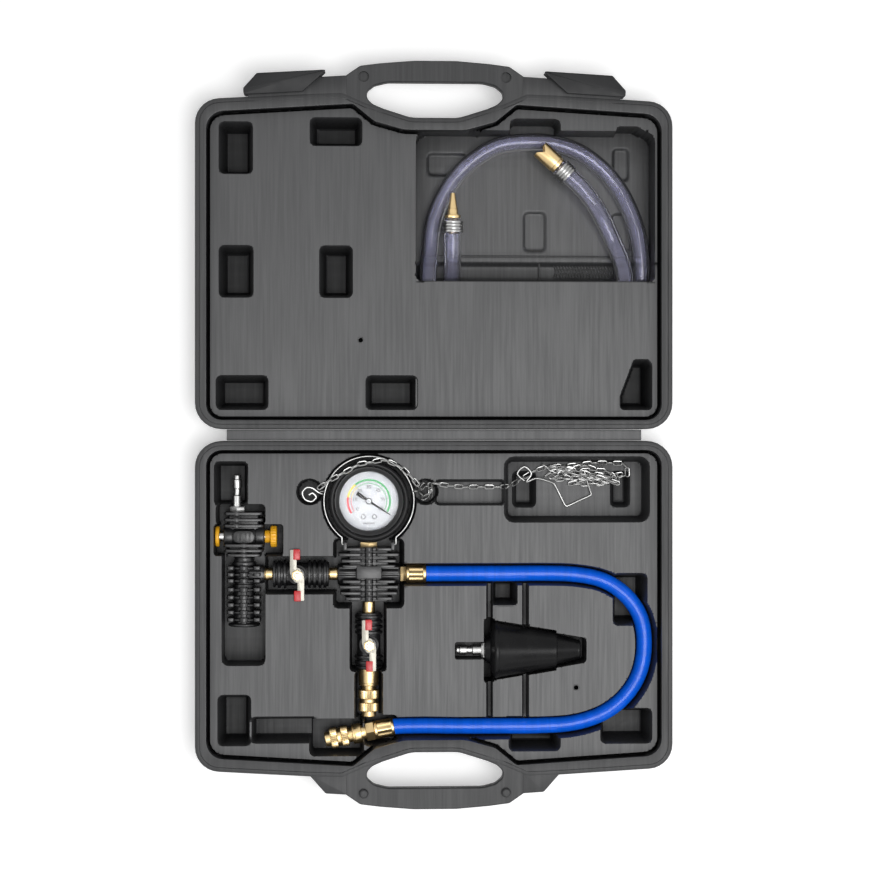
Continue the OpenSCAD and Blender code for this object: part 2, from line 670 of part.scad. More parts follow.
module valve1_body() { valve1_place() valve_body(); }
module valve1_end() { valve1_place() valve_end(); }
module valve1_seats() { valve1_place() valve_seats(); }
module valve1_ball() { valve1_place() crosswise() valve_ball(); }
module valve1_stem() { valve1_place() valve_stem(); }
module valve1_lever() { valve1_place() crosswise() valve_lever(); }
module valve1_grips() { valve1_place() crosswise() valve_grips(); }
module valve1_nut() { valve1_place() valve_nut(); }
module valve2_body() { valve2_place() valve_body(); }
module valve2_end() { valve2_place() valve_end(); }
module valve2_seats() { valve2_place() valve_seats(); }
module valve2_ball() { valve2_place() valve_ball(); }
module valve2_stem() { valve2_place() valve_stem(); }
module valve2_lever() { valve2_place() valve_lever(); }
module valve2_grips() { valve2_place() valve_grips(); }
module valve2_nut() { valve2_place() valve_nut(); }

ear_t = 3;
ear_x = bail_leg - bail_wire / 2 - 0.4 - ear_t;

module manifold_block() {
    half = manifold_size / 2;
    color(rubber) difference() {
        union() {
            at(gauge_x, main_y) {
                block([34, manifold_size.y, 22]);
                fins([manifold_size.x, manifold_size.y - 3, manifold_size.z], 7, 3);
                to_right() rod(10.5, -half.x, half.x);
                block([21, 11, manifold_size.z + 1]);
            }
            for (s = [-1, 1]) translate([gauge_x + s * (ear_x + ear_t / 2), -manifold_top + 1, bail_z - 1])
                block([ear_t, 8.5, 7]);
        }
        at(gauge_x, main_y) {
            to_right() rod(port_r, -half.x, half.x);
            to_back() rod(port_r, -half.y, half.y);
            for (s = [-1, 1]) {
                to_right() rod(nipple_r + thread_gap, s * half.x - thread_l, s * half.x + thread_l);
                to_back() rod(nipple_r + thread_gap, s * half.y - thread_l, s * half.y + thread_l);
            }
        }
        at(gauge_x, bail_pivot_y, bail_z) to_right() rod(bail_wire / 2 + run_gap, -far / 2, far / 2);
    }
}

// Gauge parts, drawn about the gauge's own axis
gear_gap = pinion_teeth + sector_teeth;
sector_at = [0, -gear_module * gear_gap / 2];
sector_r = gear_module * sector_teeth / 2;
pinion_r = gear_module * pinion_teeth / 2;
stem_hole = 5;
socket_y = -23.5;
pointer_angle = -33;
gauge_r = gauge_d / 2;
tube_h = 8;

module gauge_place() { at(gauge_x, gauge_y, 0) children(); }

// Slim teeth that leave room for their mates all through the turn
module tooth(r) {
    translate([r, 0]) polygon([[-0.75, -0.42], [0.45, -0.14], [0.45, 0.14], [-0.75, 0.42]]);
}

module gauge_stem() {
    l = manifold_top - gauge_y + socket_y;
    color(brass) difference() {
        union() {
            at(gauge_x, manifold_top) to_back() {
                rod(nipple_r, 1 - thread_l, 0.5);
                hex(14, 0, 4);
                rod(stem_hole, 3, l);
            }
            gauge_place() translate([6.5, socket_y - 1.5, tool_z]) block([7, 3, 8]);
        }
        at(gauge_x, manifold_top) to_back() rod(1.5, -far, l - 2);
    }
}

module gauge_case() {
    color(steel) difference() {
        gauge_place() rod(gauge_r, case_z, case_z + case_h);
        gauge_place() rod(gauge_r - 1, case_z + 1, case_z + case_h - 1);
        gauge_place() rod(gauge_r - 2.5, case_z + 1, far);
        at(gauge_x, gauge_y) to_front() rod(stem_hole + thread_gap, gauge_r - 8, far);
    }
}

module gauge_boot() {
    color(rubber) difference() {
        gauge_place() rod(boot_d / 2, boot_z, boot_z + boot_h);
        gauge_place() rod(gauge_r + thread_gap, case_z - thread_gap, case_z + case_h + thread_gap);
        gauge_place() rod(gauge_r - 2, case_z, far);
        at(gauge_x, gauge_y) to_front() rod(stem_hole + 0.3, gauge_r - 4, far);
    }
}

module gauge_dial() {
    color("white") gauge_place() difference() {
        rod(gauge_r - 1 - thread_gap, dial_z, dial_z + 0.8);
        rod(arbor_r + free_gap, 0, far);
    }
}

module gauge_lens() {
    color("white", 0.3) gauge_place() rod(gauge_r - 1 - thread_gap, case_z + case_h - 3, case_z + case_h - 1);
}

module gauge_pointer() {
    color(rubber) gauge_place() union() {
        rod(arbor_r, plate_z + 0.2, dial_z + 3);
        rod(2.4, dial_z + 1.6, dial_z + 3);
        translate([0, 0, gear_z]) linear_extrude(gear_t) union() {
            circle(r = pinion_r - 0.7);
            for (i = [0:pinion_teeth - 1]) rotate(360 * i / pinion_teeth) tooth(pinion_r);
        }
        translate([0, 0, dial_z + 1.8]) rotate([0, 0, pointer_angle]) linear_extrude(0.6)
            polygon([[-9, -1.3], [0, -0.9], [21, -0.3], [21, 0.3], [0, 0.9], [-9, 1.3]]);
    }
}

module gauge_movement() {
    top_z = gear_z + gear_t + 1.2;
    color(brass) gauge_place() difference() {
        union() {
            for (z = [plate_z, top_z]) translate([-6, socket_y, z]) cube([12, -socket_y + 5, 1]);
            for (s = [-1, 1]) translate([s * 4.5, socket_y + 2, 0]) rod(1.2, plate_z, top_z);
        }
        rod(arbor_r + run_gap, 0, far);
        translate(sector_at) rod(arbor_r + run_gap, 0, far);
    }
}

module sector_gear() {
    color(brass) gauge_place() translate(sector_at) union() {
        rod(arbor_r, plate_z + 0.2, gear_z + gear_t + 2);
        translate([0, 0, gear_z]) linear_extrude(gear_t) union() {
            circle(r = 2.2);
            polygon(concat([[0, 0]], [for (a = [84:7:147]) (sector_r - 0.7) * [cos(a), sin(a)]]));
            for (i = [0:7]) rotate(90 + i * 360 / sector_teeth) tooth(sector_r);
        }
    }
}

module bourdon_tube() {
    color(brass) gauge_place() rotate([0, 0, -68]) rotate_extrude(angle = 250)
        translate([gauge_r - 11, tool_z - tube_h / 2]) square([2.4, tube_h]);
}

// Bail of round wire: a ring round the gauge, two legs and two pins in the manifold's ears
module bail_wire_ring() {
    w = bail_wire / 2;
    leg_top = gauge_y + sqrt(bail_r * bail_r - bail_leg * bail_leg);
    lean = acos(bail_leg / bail_r);
    color(steel) union() {
        at(gauge_x, gauge_y, bail_z) rotate([0, 0, -lean])
            rotate_extrude(angle = 180 + 2 * lean) translate([bail_r, 0]) circle(r = w);
        for (s = [-1, 1]) {
            at(gauge_x + s * bail_leg, leg_top, bail_z) to_front() rod(w, 0, bail_pivot_y - leg_top);
            at(gauge_x + s * bail_leg, leg_top, bail_z) sphere(r = w + 0.15);
            at(gauge_x + s * bail_leg, bail_pivot_y, bail_z) sphere(r = w + 0.15);
            at(gauge_x + s * bail_leg, bail_pivot_y, bail_z) rotate([0, -s * 90, 0])
                rod(w, 0, bail_leg - ear_x + 0.8);
        }
    }
}

// Round tube swept along a path, hollow where it has a bore
function ring(p, t, r, sides) = let (n = unit(cross(t, [0, 0, 1])), b = cross(n, t))
    [for (j = [0:sides - 1]) p + r * (cos(360 * j / sides) * n + sin(360 * j / sides) * b)];
function skin(start, rings, sides, flip) = [for (i = [0:rings - 2]) for (j = [0:sides - 1])
    each let (k = (j + 1) % sides, a = start + i * sides, b = a + sides)
        let (f1 = [a + j, a + k, b + k], f2 = [a + j, b + k, b + j])
        flip ? [[f1[2], f1[1], f1[0]], [f2[2], f2[1], f2[0]]] : [f1, f2]];
function ends_annulus(n, m, sides) = [for (j = [0:sides - 1])
    each let (k = (j + 1) % sides, a = (n - 1) * sides)
    [[j, m + j, m + k], [j, m + k, k], [a + j, a + k, m + a + k], [a + j, m + a + k, m + a + j]]];

module tube(path, r, bore, sides) {
    t = tangents(path);
    n = len(path);
    outer = [for (i = [0:n - 1]) each ring(path[i], t[i], r, sides)];
    inner = [for (i = [0:n - 1]) each ring(path[i], t[i], bore, sides)];
    m = len(outer);
    polyhedron(concat(outer, inner),
        concat(skin(0, n, sides, false), skin(m, n, sides, true), ends_annulus(n, m, sides)));
}

module wire(path, r, sides) {
    t = tangents(path);
    n = len(path);
    last = (n - 1) * sides;
    fan = [for (j = [1:sides - 2]) each [[0, j + 1, j], [last, last + j, last + j + 1]]];
    polyhedron([for (i = [0:n - 1]) each ring(path[i], t[i], r, sides)],
        concat(skin(0, n, sides, false), fan));
}

// Chain of oval links that follow the route, each turned a quarter to the last
link_pitch = link_l - 2 * chain_wire - 0.4;
function length_to(p, i) = i == 0 ? 0 : norm(p[i] - p[i - 1]) + length_to(p, i - 1);
function place(p, reach, s) = let (i = min([for (k = [0:len(p) - 2]) if (reach[k + 1] >= s) k]))
    let (f = (s - reach[i]) / (reach[i + 1] - reach[i]))
    [p[i] + f * (p[i + 1] - p[i]), unit(p[i + 1] - p[i])];

module chain_link() {
    r = (link_w - chain_wire) / 2;
    l = link_l / 2 - link_w / 2;
    for (s = [0, 180]) rotate([0, 0, s]) {
        translate([l, 0, 0]) rotate([0, 0, -90]) rotate_extrude(angle = 180)
            translate([r, 0]) circle(d = chain_wire, $fn = 16);
        translate([-l, r, 0]) to_right() cylinder(d = chain_wire, h = 2 * l, $fn = 16);
    }
}

module chain() {
    path = smooth(chain_route, 5);
    reach = [for (i = [0:len(path) - 1]) length_to(path, i)];
    count = floor(reach[len(path) - 1] / link_pitch);
    color(steel) for (i = [0:count - 1]) let (q = place(path, reach, (i + 0.5) * link_pitch), t = q[1])
        translate(q[0]) rotate([0, -asin(t.z), atan2(t.y, t.x)]) rotate([i % 2 * 90 + 45, 0, 0]) chain_link();
}

module chain_s_hook() { color(steel) wire(smooth(s_hook_route, 2.5), 0.8, 8); }
module hanger_hook() { color(steel) wire(smooth(hook_route, 4), hook_wire / 2, 8); }

// Blue hose with its fittings; the far coupler leans from the hose's end
hose_end = [-34, run_y];
coupler_lean = 190.4;
ferrule_l = 17.3;
ferrule_r = blue_d / 2 + 1.2;
fitting_x = manifold_left + manifold_size.x;
fitting_hex = 5;
barb_r = blue_bore / 2 * cos(18) - 0.2;

module blue_hose() { color("royalblue") tube(blue_path, blue_d / 2, blue_bore / 2, 10); }

module ferrule() {
    color(brass) difference() {
        rod(ferrule_r, 0, ferrule_l);
        rod(blue_d / 2 + 0.1, -1, far);
    }
}

module fitting_ferrule() { at(fitting_x + fitting_hex, main_y) to_right() ferrule(); }

module hose_fitting() {
    color(brass) at(fitting_x, main_y) to_right() difference() {
        union() {
            rod(nipple_r, 1 - thread_l, 0.5);
            hex(12, 0, fitting_hex);
            rod(barb_r, 0, fitting_hex + 14);
        }
        rod(2.2, -far, far);
    }
}

// Quick coupler along +Z: a smooth shank, then a neck that carries the sliding sleeve
neck_of_coupler = 6.2;
nose_l = 4.5;
socket_l = 18;
socket_r = plug_r + 0.1;
function sleeve_at(smooth_l) = smooth_l + sleeve_travel + 0.4;
function coupler_l(smooth_l, sleeve_l) = sleeve_at(smooth_l) + sleeve_l + nose_l;

module coupler_body(smooth_l, sleeve_l) {
    total = coupler_l(smooth_l, sleeve_l);
    difference() {
        union() {
            rod(sleeve_d / 2 - 0.2, 0, smooth_l);
            rod(neck_of_coupler, 0, total);
            children();
        }
        rod(socket_r, total - socket_l, far);
        rod(2.2, -far / 2, far / 2);
    }
}

module coupler_sleeve(smooth_l, sleeve_l) {
    start = sleeve_at(smooth_l);
    color(brass) difference() {
        rod(sleeve_d / 2, start, start + sleeve_l);
        rod(neck_of_coupler + run_gap, 0, far);
        difference() {
            rod(sleeve_d, start + sleeve_l / 2 - 1.5, start + sleeve_l / 2 + 1.5);
            rod(sleeve_d / 2 - 1.2, 0, far);
        }
    }
}

outlet_smooth = 14.5;
outlet_sleeve = 18.4;
hose_smooth = 8;
hose_sleeve = 15.6;
hex_from = ferrule_l;
hex_to = ferrule_l + 10.7;

module outlet_place() { at(gauge_x, valve2_y + valve_back) to_front() children(); }
module hose_end_place() { at(hose_end.x, hose_end.y) rotate([0, 0, coupler_lean]) to_right() children(); }

module outlet_coupler_body() {
    color(brass) outlet_place() coupler_body(outlet_smooth, outlet_sleeve) rod(nipple_r, 1 - thread_l, 1);
}
module outlet_coupler_sleeve() { outlet_place() coupler_sleeve(outlet_smooth, outlet_sleeve); }
module coupler_ferrule() { hose_end_place() ferrule(); }

module hose_coupler_body() {
    color(brass) hose_end_place() translate([0, 0, hex_to]) coupler_body(hose_smooth, hose_sleeve) {
        hex(14.8, hex_from - hex_to, 1);
        rod(barb_r, 4 - hex_to, 1);
    }
}
module hose_coupler_sleeve() {
    hose_end_place() translate([0, 0, hex_to]) coupler_sleeve(hose_smooth, hose_sleeve);
}

// Cone adapter, lying along X with its plug towards the tool
cone_face = cone_x - 8.5;
cone_plug_r = 4.8;
tail_r = 8.5;
step_r = 15.5;

module cone_place() { at(cone_face, cone_y, cone_z) to_right() children(); }

module rubber_cone() {
    r = cone_d / 2;
    l = cone_l + cone_x - cone_face;
    s = l - cone_tail_l;
    color(rubber) cone_place() rotate_extrude() polygon([[cone_plug_r + thread_gap, 0], [10, 0], [12, 5],
        [r - 1, 7], [r, 8.5], [r, 11], [step_r, s - 3], [step_r, s], [step_r - 2, s], [tail_r, l - 1.5],
        [tail_r - 1, l], [3, l], [3, 14], [cone_plug_r + thread_gap, 14]]);
}

module cone_plug() { color(steel) cone_place() rotate([180, 0, 0]) plug(cone_plug_r, 12, 12, 3, 21); }

// Clear hose with its two brass nozzles and their clamps
clear_barb = clear_bore / 2 * cos(18) - 0.2;
tip_end = clear_route[0];
notch_end = clear_route[len(clear_route) - 1];
notch_turn = atan2(8.8, -9.6);
clamp_r = clear_d / 2 + 1.5;

module tip_place() { translate(tip_end) to_back() children(); }
module notch_place() { translate(notch_end) rotate([0, 0, notch_turn]) to_right() children(); }

module clear_hose() { color("lavender", 0.5) tube(clear_path, clear_d / 2, clear_bore / 2, 10); }

module tip_nozzle() {
    color(brass) tip_place() difference() {
        union() {
            rod(clear_barb, -12, 1);
            rod(6.5, 0.3, 3);
            translate([0, 0, 3]) cylinder(r1 = 4.6, r2 = 1.8, h = 19);
        }
        rod(1, -far, far);
        rod(3, -far, 0);
    }
}

module notched_nozzle() {
    color(brass) notch_place() difference() {
        union() {
            rod(clear_barb, -12, 1);
            rod(7, 0.3, 3);
            rod(7.7, 3, 22);
        }
        rod(3.4, -far, far);
        rod(5.4, 8, far);
        translate([0, 0, 22]) rotate([0, 45, 0]) block([7, far, 7]);
    }
}

module clamp() {
    difference() {
        union() {
            rod(clamp_r - 0.6, -12, -2);
            for (z = [-12, -8.1, -4.2]) rod(clamp_r, z, z + 2.2);
        }
        rod(clear_d / 2 + 0.1, -far, far);
    }
}

module hose_clamps() {
    color(steel) {
        tip_place() clamp();
        notch_place() clamp();
    }
}

base_shell();
lid_shell();
hinge_strip();
latch_left();
latch_right();
inlet_plug();
venturi_body();
venturi_jet();
muffler();
spool_rod();
spool_seals();
spool_knob();
spool_cap();
venturi_nipple();
manifold_nipple();
outlet_nipple();
valve1_body();
valve1_end();
valve1_seats();
valve1_ball();
valve1_stem();
valve1_lever();
valve1_grips();
valve1_nut();
valve2_body();
valve2_end();
valve2_seats();
valve2_ball();
valve2_stem();
valve2_lever();
valve2_grips();
valve2_nut();
manifold_block();
gauge_stem();
gauge_case();
gauge_boot();
gauge_dial();
gauge_lens();
gauge_pointer();
gauge_movement();
sector_gear();
bourdon_tube();
bail_wire_ring();
chain();
chain_s_hook();
hanger_hook();
hose_fitting();
fitting_ferrule();
blue_hose();
coupler_ferrule();
hose_coupler_body();
hose_coupler_sleeve();
outlet_coupler_body();
outlet_coupler_sleeve();
rubber_cone();
cone_plug();
clear_hose();
tip_nozzle();
notched_nozzle();
hose_clamps();
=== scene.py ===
"""Coolant vacuum filler kit in its opened case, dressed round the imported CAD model.

Lengths in the shape functions are millimetres; they become metres when a piece's mesh is made.
"""

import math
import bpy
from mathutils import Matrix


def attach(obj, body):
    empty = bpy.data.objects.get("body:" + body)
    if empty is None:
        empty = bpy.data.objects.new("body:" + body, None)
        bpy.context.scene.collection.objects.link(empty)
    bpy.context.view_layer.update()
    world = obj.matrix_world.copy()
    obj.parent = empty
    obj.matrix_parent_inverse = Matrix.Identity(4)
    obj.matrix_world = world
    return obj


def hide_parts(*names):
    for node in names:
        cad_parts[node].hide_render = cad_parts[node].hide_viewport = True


bl_info = {
    "name": "Coolant Vacuum Filler Kit",
    "version": (1, 0, 0),
    "blender": (4, 5, 0),
    "location": "View3D > Sidebar > Filler Kit",
    "description": "Builds the filler kit's case, tool, hoses and stage round its packed model",
    "category": "Object",
}

import bmesh
import bpy
import numpy as np
from mathutils import Vector
from mathutils.geometry import tessellate_polygon

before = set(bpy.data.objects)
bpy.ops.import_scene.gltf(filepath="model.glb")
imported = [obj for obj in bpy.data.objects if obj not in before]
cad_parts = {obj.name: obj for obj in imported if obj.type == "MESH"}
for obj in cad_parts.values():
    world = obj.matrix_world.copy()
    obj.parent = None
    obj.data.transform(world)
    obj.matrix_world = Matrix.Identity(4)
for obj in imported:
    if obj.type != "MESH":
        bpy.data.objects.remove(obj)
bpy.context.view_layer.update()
MM = 0.001
SHARP = math.radians(32)
MERGE = 2e-6
LEAST_R = 0.03
RIGHT, LEFT, FRONT, BACK, UP = (1, 0, 0), (-1, 0, 0), (0, -1, 0), (0, 1, 0), (0, 0, 1)

# Places shared by several pieces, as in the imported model
VENTURI_Y, MUFFLER_Y, MANIFOLD_Y = -65, -126, -95
PANEL_Z = 36.0
RIM_Z = 42.0
TOOL_Z = 22.0
MAIN_Y = -118.0
GAUGE = (-55.5, -56.0)
MUFFLER_X = -161.0
PLUG_X = -167.0
SPOOL_Y = -86.0
VALVE_1 = (-116.0, -118.0)
VALVE_2 = (-55.5, -177.5)
BAIL_Z = 33.0
CONE_AT = (42.5, -182.5, 28.6)
COUPLER_LEAN = math.radians(190.4)
HOSE_END = (-34.0, -248.0, TOOL_Z)


def colour_setting(name, description, default):
    """A colour setting."""
    return bpy.props.FloatVectorProperty(
        name=name, description=description, subtype="COLOR", size=3, min=0, max=1, default=default)


def length_setting(name, description, default, low, high):
    """A length setting in metres."""
    return bpy.props.FloatProperty(
        name=name, description=description, default=default, min=low, max=high, unit="LENGTH")


class CaseSettings(bpy.types.PropertyGroup):
    """Sizes and colours of the case."""

    plastic: colour_setting("Plastic", "Colour of the moulded plastic", (0.026, 0.0265, 0.028))
    streak: colour_setting("Streak", "Colour of the flow streaks in the plastic", (0.040, 0.0405, 0.042))
    cell: length_setting("Panel Cell", "Width of the cells of the inner panels", 0.00112, 0.0008, 0.004)
    edge: length_setting("Edge Rounding", "Rounding of the latches and tabs", 0.0007, 0.0002, 0.0012)


class ToolSettings(bpy.types.PropertyGroup):
    """Sizes and colours of the filler's metal and black parts."""

    brass: colour_setting("Brass", "Colour of the brass fittings", (0.83, 0.62, 0.32))
    steel: colour_setting("Steel", "Colour of the bright steel", (0.72, 0.72, 0.71))
    casting: colour_setting("Black Casting", "Colour of the finned bodies", (0.006, 0.006, 0.0065))
    grip: colour_setting("Grip", "Colour of the levers' vinyl", (0.60, 0.02, 0.025))
    knob: colour_setting("Knob", "Colour of the spool's knob and cap", (1.0, 0.50, 0.02))
    rounding: length_setting("Edge Rounding", "Rounding of turned edges", 0.00035, 0.0001, 0.0006)


class HoseSettings(bpy.types.PropertyGroup):
    """Sizes and colours of the hoses, the chain and the wires."""

    blue: colour_setting("Blue Hose", "Colour of the pressure hose", (0.003, 0.12, 0.80))
    blue_width: length_setting("Blue Width", "Outer diameter of the blue hose", 0.0135, 0.01, 0.014)
    tint: colour_setting("Clear Tint", "Tint of the clear hose", (0.79, 0.79, 0.915))
    clear_width: length_setting("Clear Width", "Outer diameter of the clear hose", 0.015, 0.012, 0.015)
    link: length_setting("Link Length", "Length of a chain link", 0.009, 0.006, 0.01)


class StageSettings(bpy.types.PropertyGroup):
    """Camera and light of the studio."""

    height: length_setting("Camera Height", "Height of the camera over the case's rim", 1.70, 0.5, 5)
    lean: bpy.props.FloatProperty(
        name="Camera Lean", description="Lean of the camera to the left", default=math.radians(2.5), min=0,
        max=0.3, subtype="ANGLE")
    span: length_setting("Span", "Width that the picture takes in at the rim", 0.7326, 0.2, 3)
    floor: colour_setting("Floor", "Colour of the floor", (0.86, 0.86, 0.86))


def settings():
    return bpy.context.scene.filler_kit


# Shapes


def unit(v):
    """Vectors scaled to length one."""
    v = np.asarray(v, float)
    return v / np.linalg.norm(v, axis=-1, keepdims=True)


def full_turn(count):
    """Angles spread evenly round a circle."""
    return np.linspace(0, 2 * np.pi, count, endpoint=False)


def ways(angle):
    """Directions in the plane at angles from X."""
    return np.stack([np.cos(angle), np.sin(angle)], -1)


class Stock:
    """Points, faces and material marks of one piece, gathered from several surfaces."""

    def __init__(self):
        self.points, self.faces, self.marks, self.size = [], [], [], 0

    def add(self, points, faces, mark=0):
        """Adds a surface; its face indices count from its own first point."""
        points = np.asarray(points, float).reshape(-1, 3)
        self.points.append(points)
        self.faces += [tuple(int(i) + self.size for i in f) for f in faces]
        self.marks += [mark] * len(faces)
        self.size += len(points)

    def grid(self, grid, wrap=True, mark=0, flip=False):
        """Adds a grid of points, rows by columns; wrap joins its last column to its first."""
        rows, cols = grid.shape[:2]
        r, c = np.meshgrid(np.arange(rows - 1), np.arange(cols if wrap else cols - 1), indexing="ij")
        d = (c + 1) % cols
        quads = np.stack([r * cols + c, r * cols + d, (r + 1) * cols + d, (r + 1) * cols + c], -1)
        quads = quads.reshape(-1, 4)
        self.add(grid, quads[:, ::-1] if flip else quads, mark)

    def mirror(self):
        """Mirrors everything gathered so far across Y = 0."""
        self.points = [p * (1, -1, 1) for p in self.points]
        self.faces = [f[::-1] for f in self.faces]

    def disc(self, ring, mark=0, flip=False):
        """Adds one flat face inside a ring of points."""
        order = range(len(ring))
        self.add(ring, [tuple(reversed(order)) if flip else tuple(order)], mark)


def piece(name, stock, body, node, finishes, closed=True):
    """Makes the gathered surfaces one mesh in metres, merges its seams, and puts it on its body.
    """
    mesh = bpy.data.meshes.new(name)
    mesh.from_pydata((np.concatenate(stock.points) * MM).tolist(), [], stock.faces)
    mesh.polygons.foreach_set("material_index", np.array(stock.marks, np.int32))
    made = bmesh.new()
    made.from_mesh(mesh)
    bmesh.ops.remove_doubles(made, verts=made.verts, dist=MERGE)
    if closed:
        bmesh.ops.recalc_face_normals(made, faces=made.faces)
    made.to_mesh(mesh)
    made.free()
    mesh.shade_smooth()
    mesh.set_sharp_from_angle(angle=SHARP)
    for finish in [finishes] if isinstance(finishes, str) else finishes:
        mesh.materials.append(FINISHES[finish])
    obj = bpy.data.objects.new(name, mesh)
    bpy.context.scene.collection.objects.link(obj)
    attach(obj, body)
    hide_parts(node)
    return obj


def lathe(name, body, node, finish, rows, origin, along, closed=True, slot=None, **shape):
    """A piece that is one turned profile."""
    stock = Stock()
    turned(stock, rows, origin, along, **shape)
    piece(name, stock, body, node, finish, closed)


def rounded(corners, grow=0.0, steps=5):
    """Outline whose corners (x, y, radius) become arcs, with every edge moved out by grow.

    A corner's arc runs from the normal of the edge before it to the normal of the edge after it.
    """
    rows = np.array(corners, float)
    at = rows[:, :2]
    e1, e2 = unit(at - np.roll(at, 1, 0)), unit(np.roll(at, -1, 0) - at)
    n1, n2 = np.stack([e1[:, 1], -e1[:, 0]], 1), np.stack([e2[:, 1], -e2[:, 0]], 1)
    dot = np.clip((n1 * n2).sum(1), -1, 1)
    side = np.where(n1[:, 0] * n2[:, 1] - n1[:, 1] * n2[:, 0] >= 0, 1.0, -1.0)
    mid = (n1 + n2) / (1 + dot)[:, None]
    r = np.maximum(rows[:, 2] + side * grow, LEAST_R) * side
    turn = (np.arctan2(n1[:, 1], n1[:, 0]) + (side * np.arccos(dot)) * np.linspace(0, 1, steps + 1)[:, None]).T
    arcs = (at + (grow - r)[:, None] * mid)[:, None] + r[:, None, None] * ways(turn)
    return arcs.reshape(-1, 2)


def mirrored(half):
    """A half outline closed by its own mirror image across X = 0."""
    return half + [(-x, y, r) for x, y, r in reversed(half)]


def box(x0, x1, y0, y1, r):
    """Corners of a rounded rectangle."""
    return [(x0, y0, r), (x1, y0, r), (x1, y1, r), (x0, y1, r)]


def at_height(outline, z):
    """A flat outline lifted to a height."""
    return np.column_stack([outline, np.full(len(outline), z)])


def slab(stock, corners, z0, z1, edge=0.5, mark=0, steps=4, move=None):
    """Flat plate with rounded corners and eased edges: rings of one outline, drawn in near both faces."""
    rings = [(-edge, z0), (-edge * 0.3, z0 + edge * 0.3), (0, z0 + edge), (0, z1 - edge),
             (-edge * 0.3, z1 - edge * 0.3), (-edge, z1)]
    grid = np.stack([at_height(rounded(corners, g, steps), z) for g, z in rings])
    if move is not None:
        grid = move(grid)
    stock.grid(grid, mark=mark)
    stock.disc(grid[0], mark, flip=True)
    stock.disc(grid[-1], mark)


def placed(local, origin, along):
    """Points whose own Z runs along an axis and whose own Y points up, or back if the axis is upright."""
    w = unit(along)
    u = unit(np.cross(BACK if w[2] > 0.5 else UP, w))
    return np.asarray(origin, float) + local @ np.stack([u, np.cross(w, u), w])


def spun(grid, turn, at):
    """Points turned about Z by an angle and then moved in the plane."""
    spin = np.array([ways(turn), ways(turn + np.pi / 2)])
    return np.concatenate([grid[..., :2] @ spin + at, grid[..., 2:]], -1)


def eased(rows, r):
    """A profile with its corners cut back and bowed, so that edges catch the light.

    A corner is cut back by r, or by four tenths of the edge where that is less.
    """
    p = np.array([(list(row) + [0, 0])[:4] for row in rows], float)
    a, b, c = p[:-2, :2], p[1:-1, :2], p[2:, :2]
    la, lc = np.linalg.norm(a - b, axis=1), np.linalg.norm(c - b, axis=1)
    ca, cc = np.minimum(r, 0.4 * la) / np.maximum(la, 1e-9), np.minimum(r, 0.4 * lc) / np.maximum(lc, 1e-9)
    first, last = b + (a - b) * ca[:, None], b + (c - b) * cc[:, None]
    bow = np.stack([first, (first + last) / 4 + b / 2, last], 1)
    shape = np.repeat(p[1:-1, None, 2:], 3, 1)
    inner = np.concatenate([bow, shape], 2).reshape(-1, 4)
    return np.concatenate([p[:1], inner, p[-1:]])


def turned(stock, rows, origin, along, sides=48, mark=0, ease=None):
    """A profile of (distance, radius) rows carried round an axis.

    A row's third number is a count: 6 with no depth makes a hexagon of that inradius, any other count
    makes flutes, where the radius swings by the fourth number's share as a cosine of count times angle.
    """
    p = eased(rows, settings().tool.rounding / MM if ease is None else ease)
    angle = full_turn(sides)
    z, r, count, depth = p.T[:, :, None]
    hexed = 1 / np.cos((angle + np.pi / 6) % (np.pi / 3) - np.pi / 6)
    factor = np.where((count == 6) & (depth == 0), hexed, 1 + depth * np.cos(count * angle))
    ring = r * factor
    local = np.stack([ring * np.cos(angle), ring * np.sin(angle), z + 0 * angle], -1)
    stock.grid(placed(local, origin, along), mark=mark)


def smooth(route, step):
    """Points about a step apart on the curve through a route: between two points, the Catmull-Rom cubic."""
    p = np.array(route, float)
    a, b, c, e = np.vstack([p[:1], p[:-2]]), p[:-1], p[1:], np.vstack([p[2:], p[-1:]])
    spans = []
    for i in range(len(b)):
        k = max(1, round(float(np.linalg.norm(c[i] - b[i])) / step))
        t = (np.arange(k) / k)[:, None]
        spans.append(0.5 * (2 * b[i] + (c[i] - a[i]) * t + (2 * a[i] - 5 * b[i] + 4 * c[i] - e[i]) * t ** 2
                            + (3 * b[i] - a[i] - 3 * c[i] + e[i]) * t ** 3))
    return np.vstack(spans + [p[-1:]])


def swept(stock, path, radius, sides, ends=True, flip=False):
    """A circle carried along a path, square to it, with one side kept level."""
    t = unit(np.gradient(path, axis=0))
    level = np.cross(t, UP)
    steep = np.linalg.norm(level, axis=1) < 0.05
    level[steep] = np.cross(t[steep], BACK)
    n = unit(level)
    b = np.cross(n, t)
    angle = full_turn(sides)[:, None]
    grid = path[:, None] + radius * (np.cos(angle) * n[:, None] - np.sin(angle) * b[:, None])
    stock.grid(grid, flip=not flip)
    if ends:
        stock.disc(grid[0])
        stock.disc(grid[-1], flip=True)
    return grid


def reach_of(path):
    """Distance along a path at each of its points."""
    return np.concatenate([[0], np.cumsum(np.linalg.norm(np.diff(path, axis=0), axis=1))])


def mesh_points(obj):
    """A mesh's points in millimetres."""
    co = np.zeros(len(obj.data.vertices) * 3, np.float32)
    obj.data.vertices.foreach_get("co", co)
    return co.reshape(-1, 3) / MM


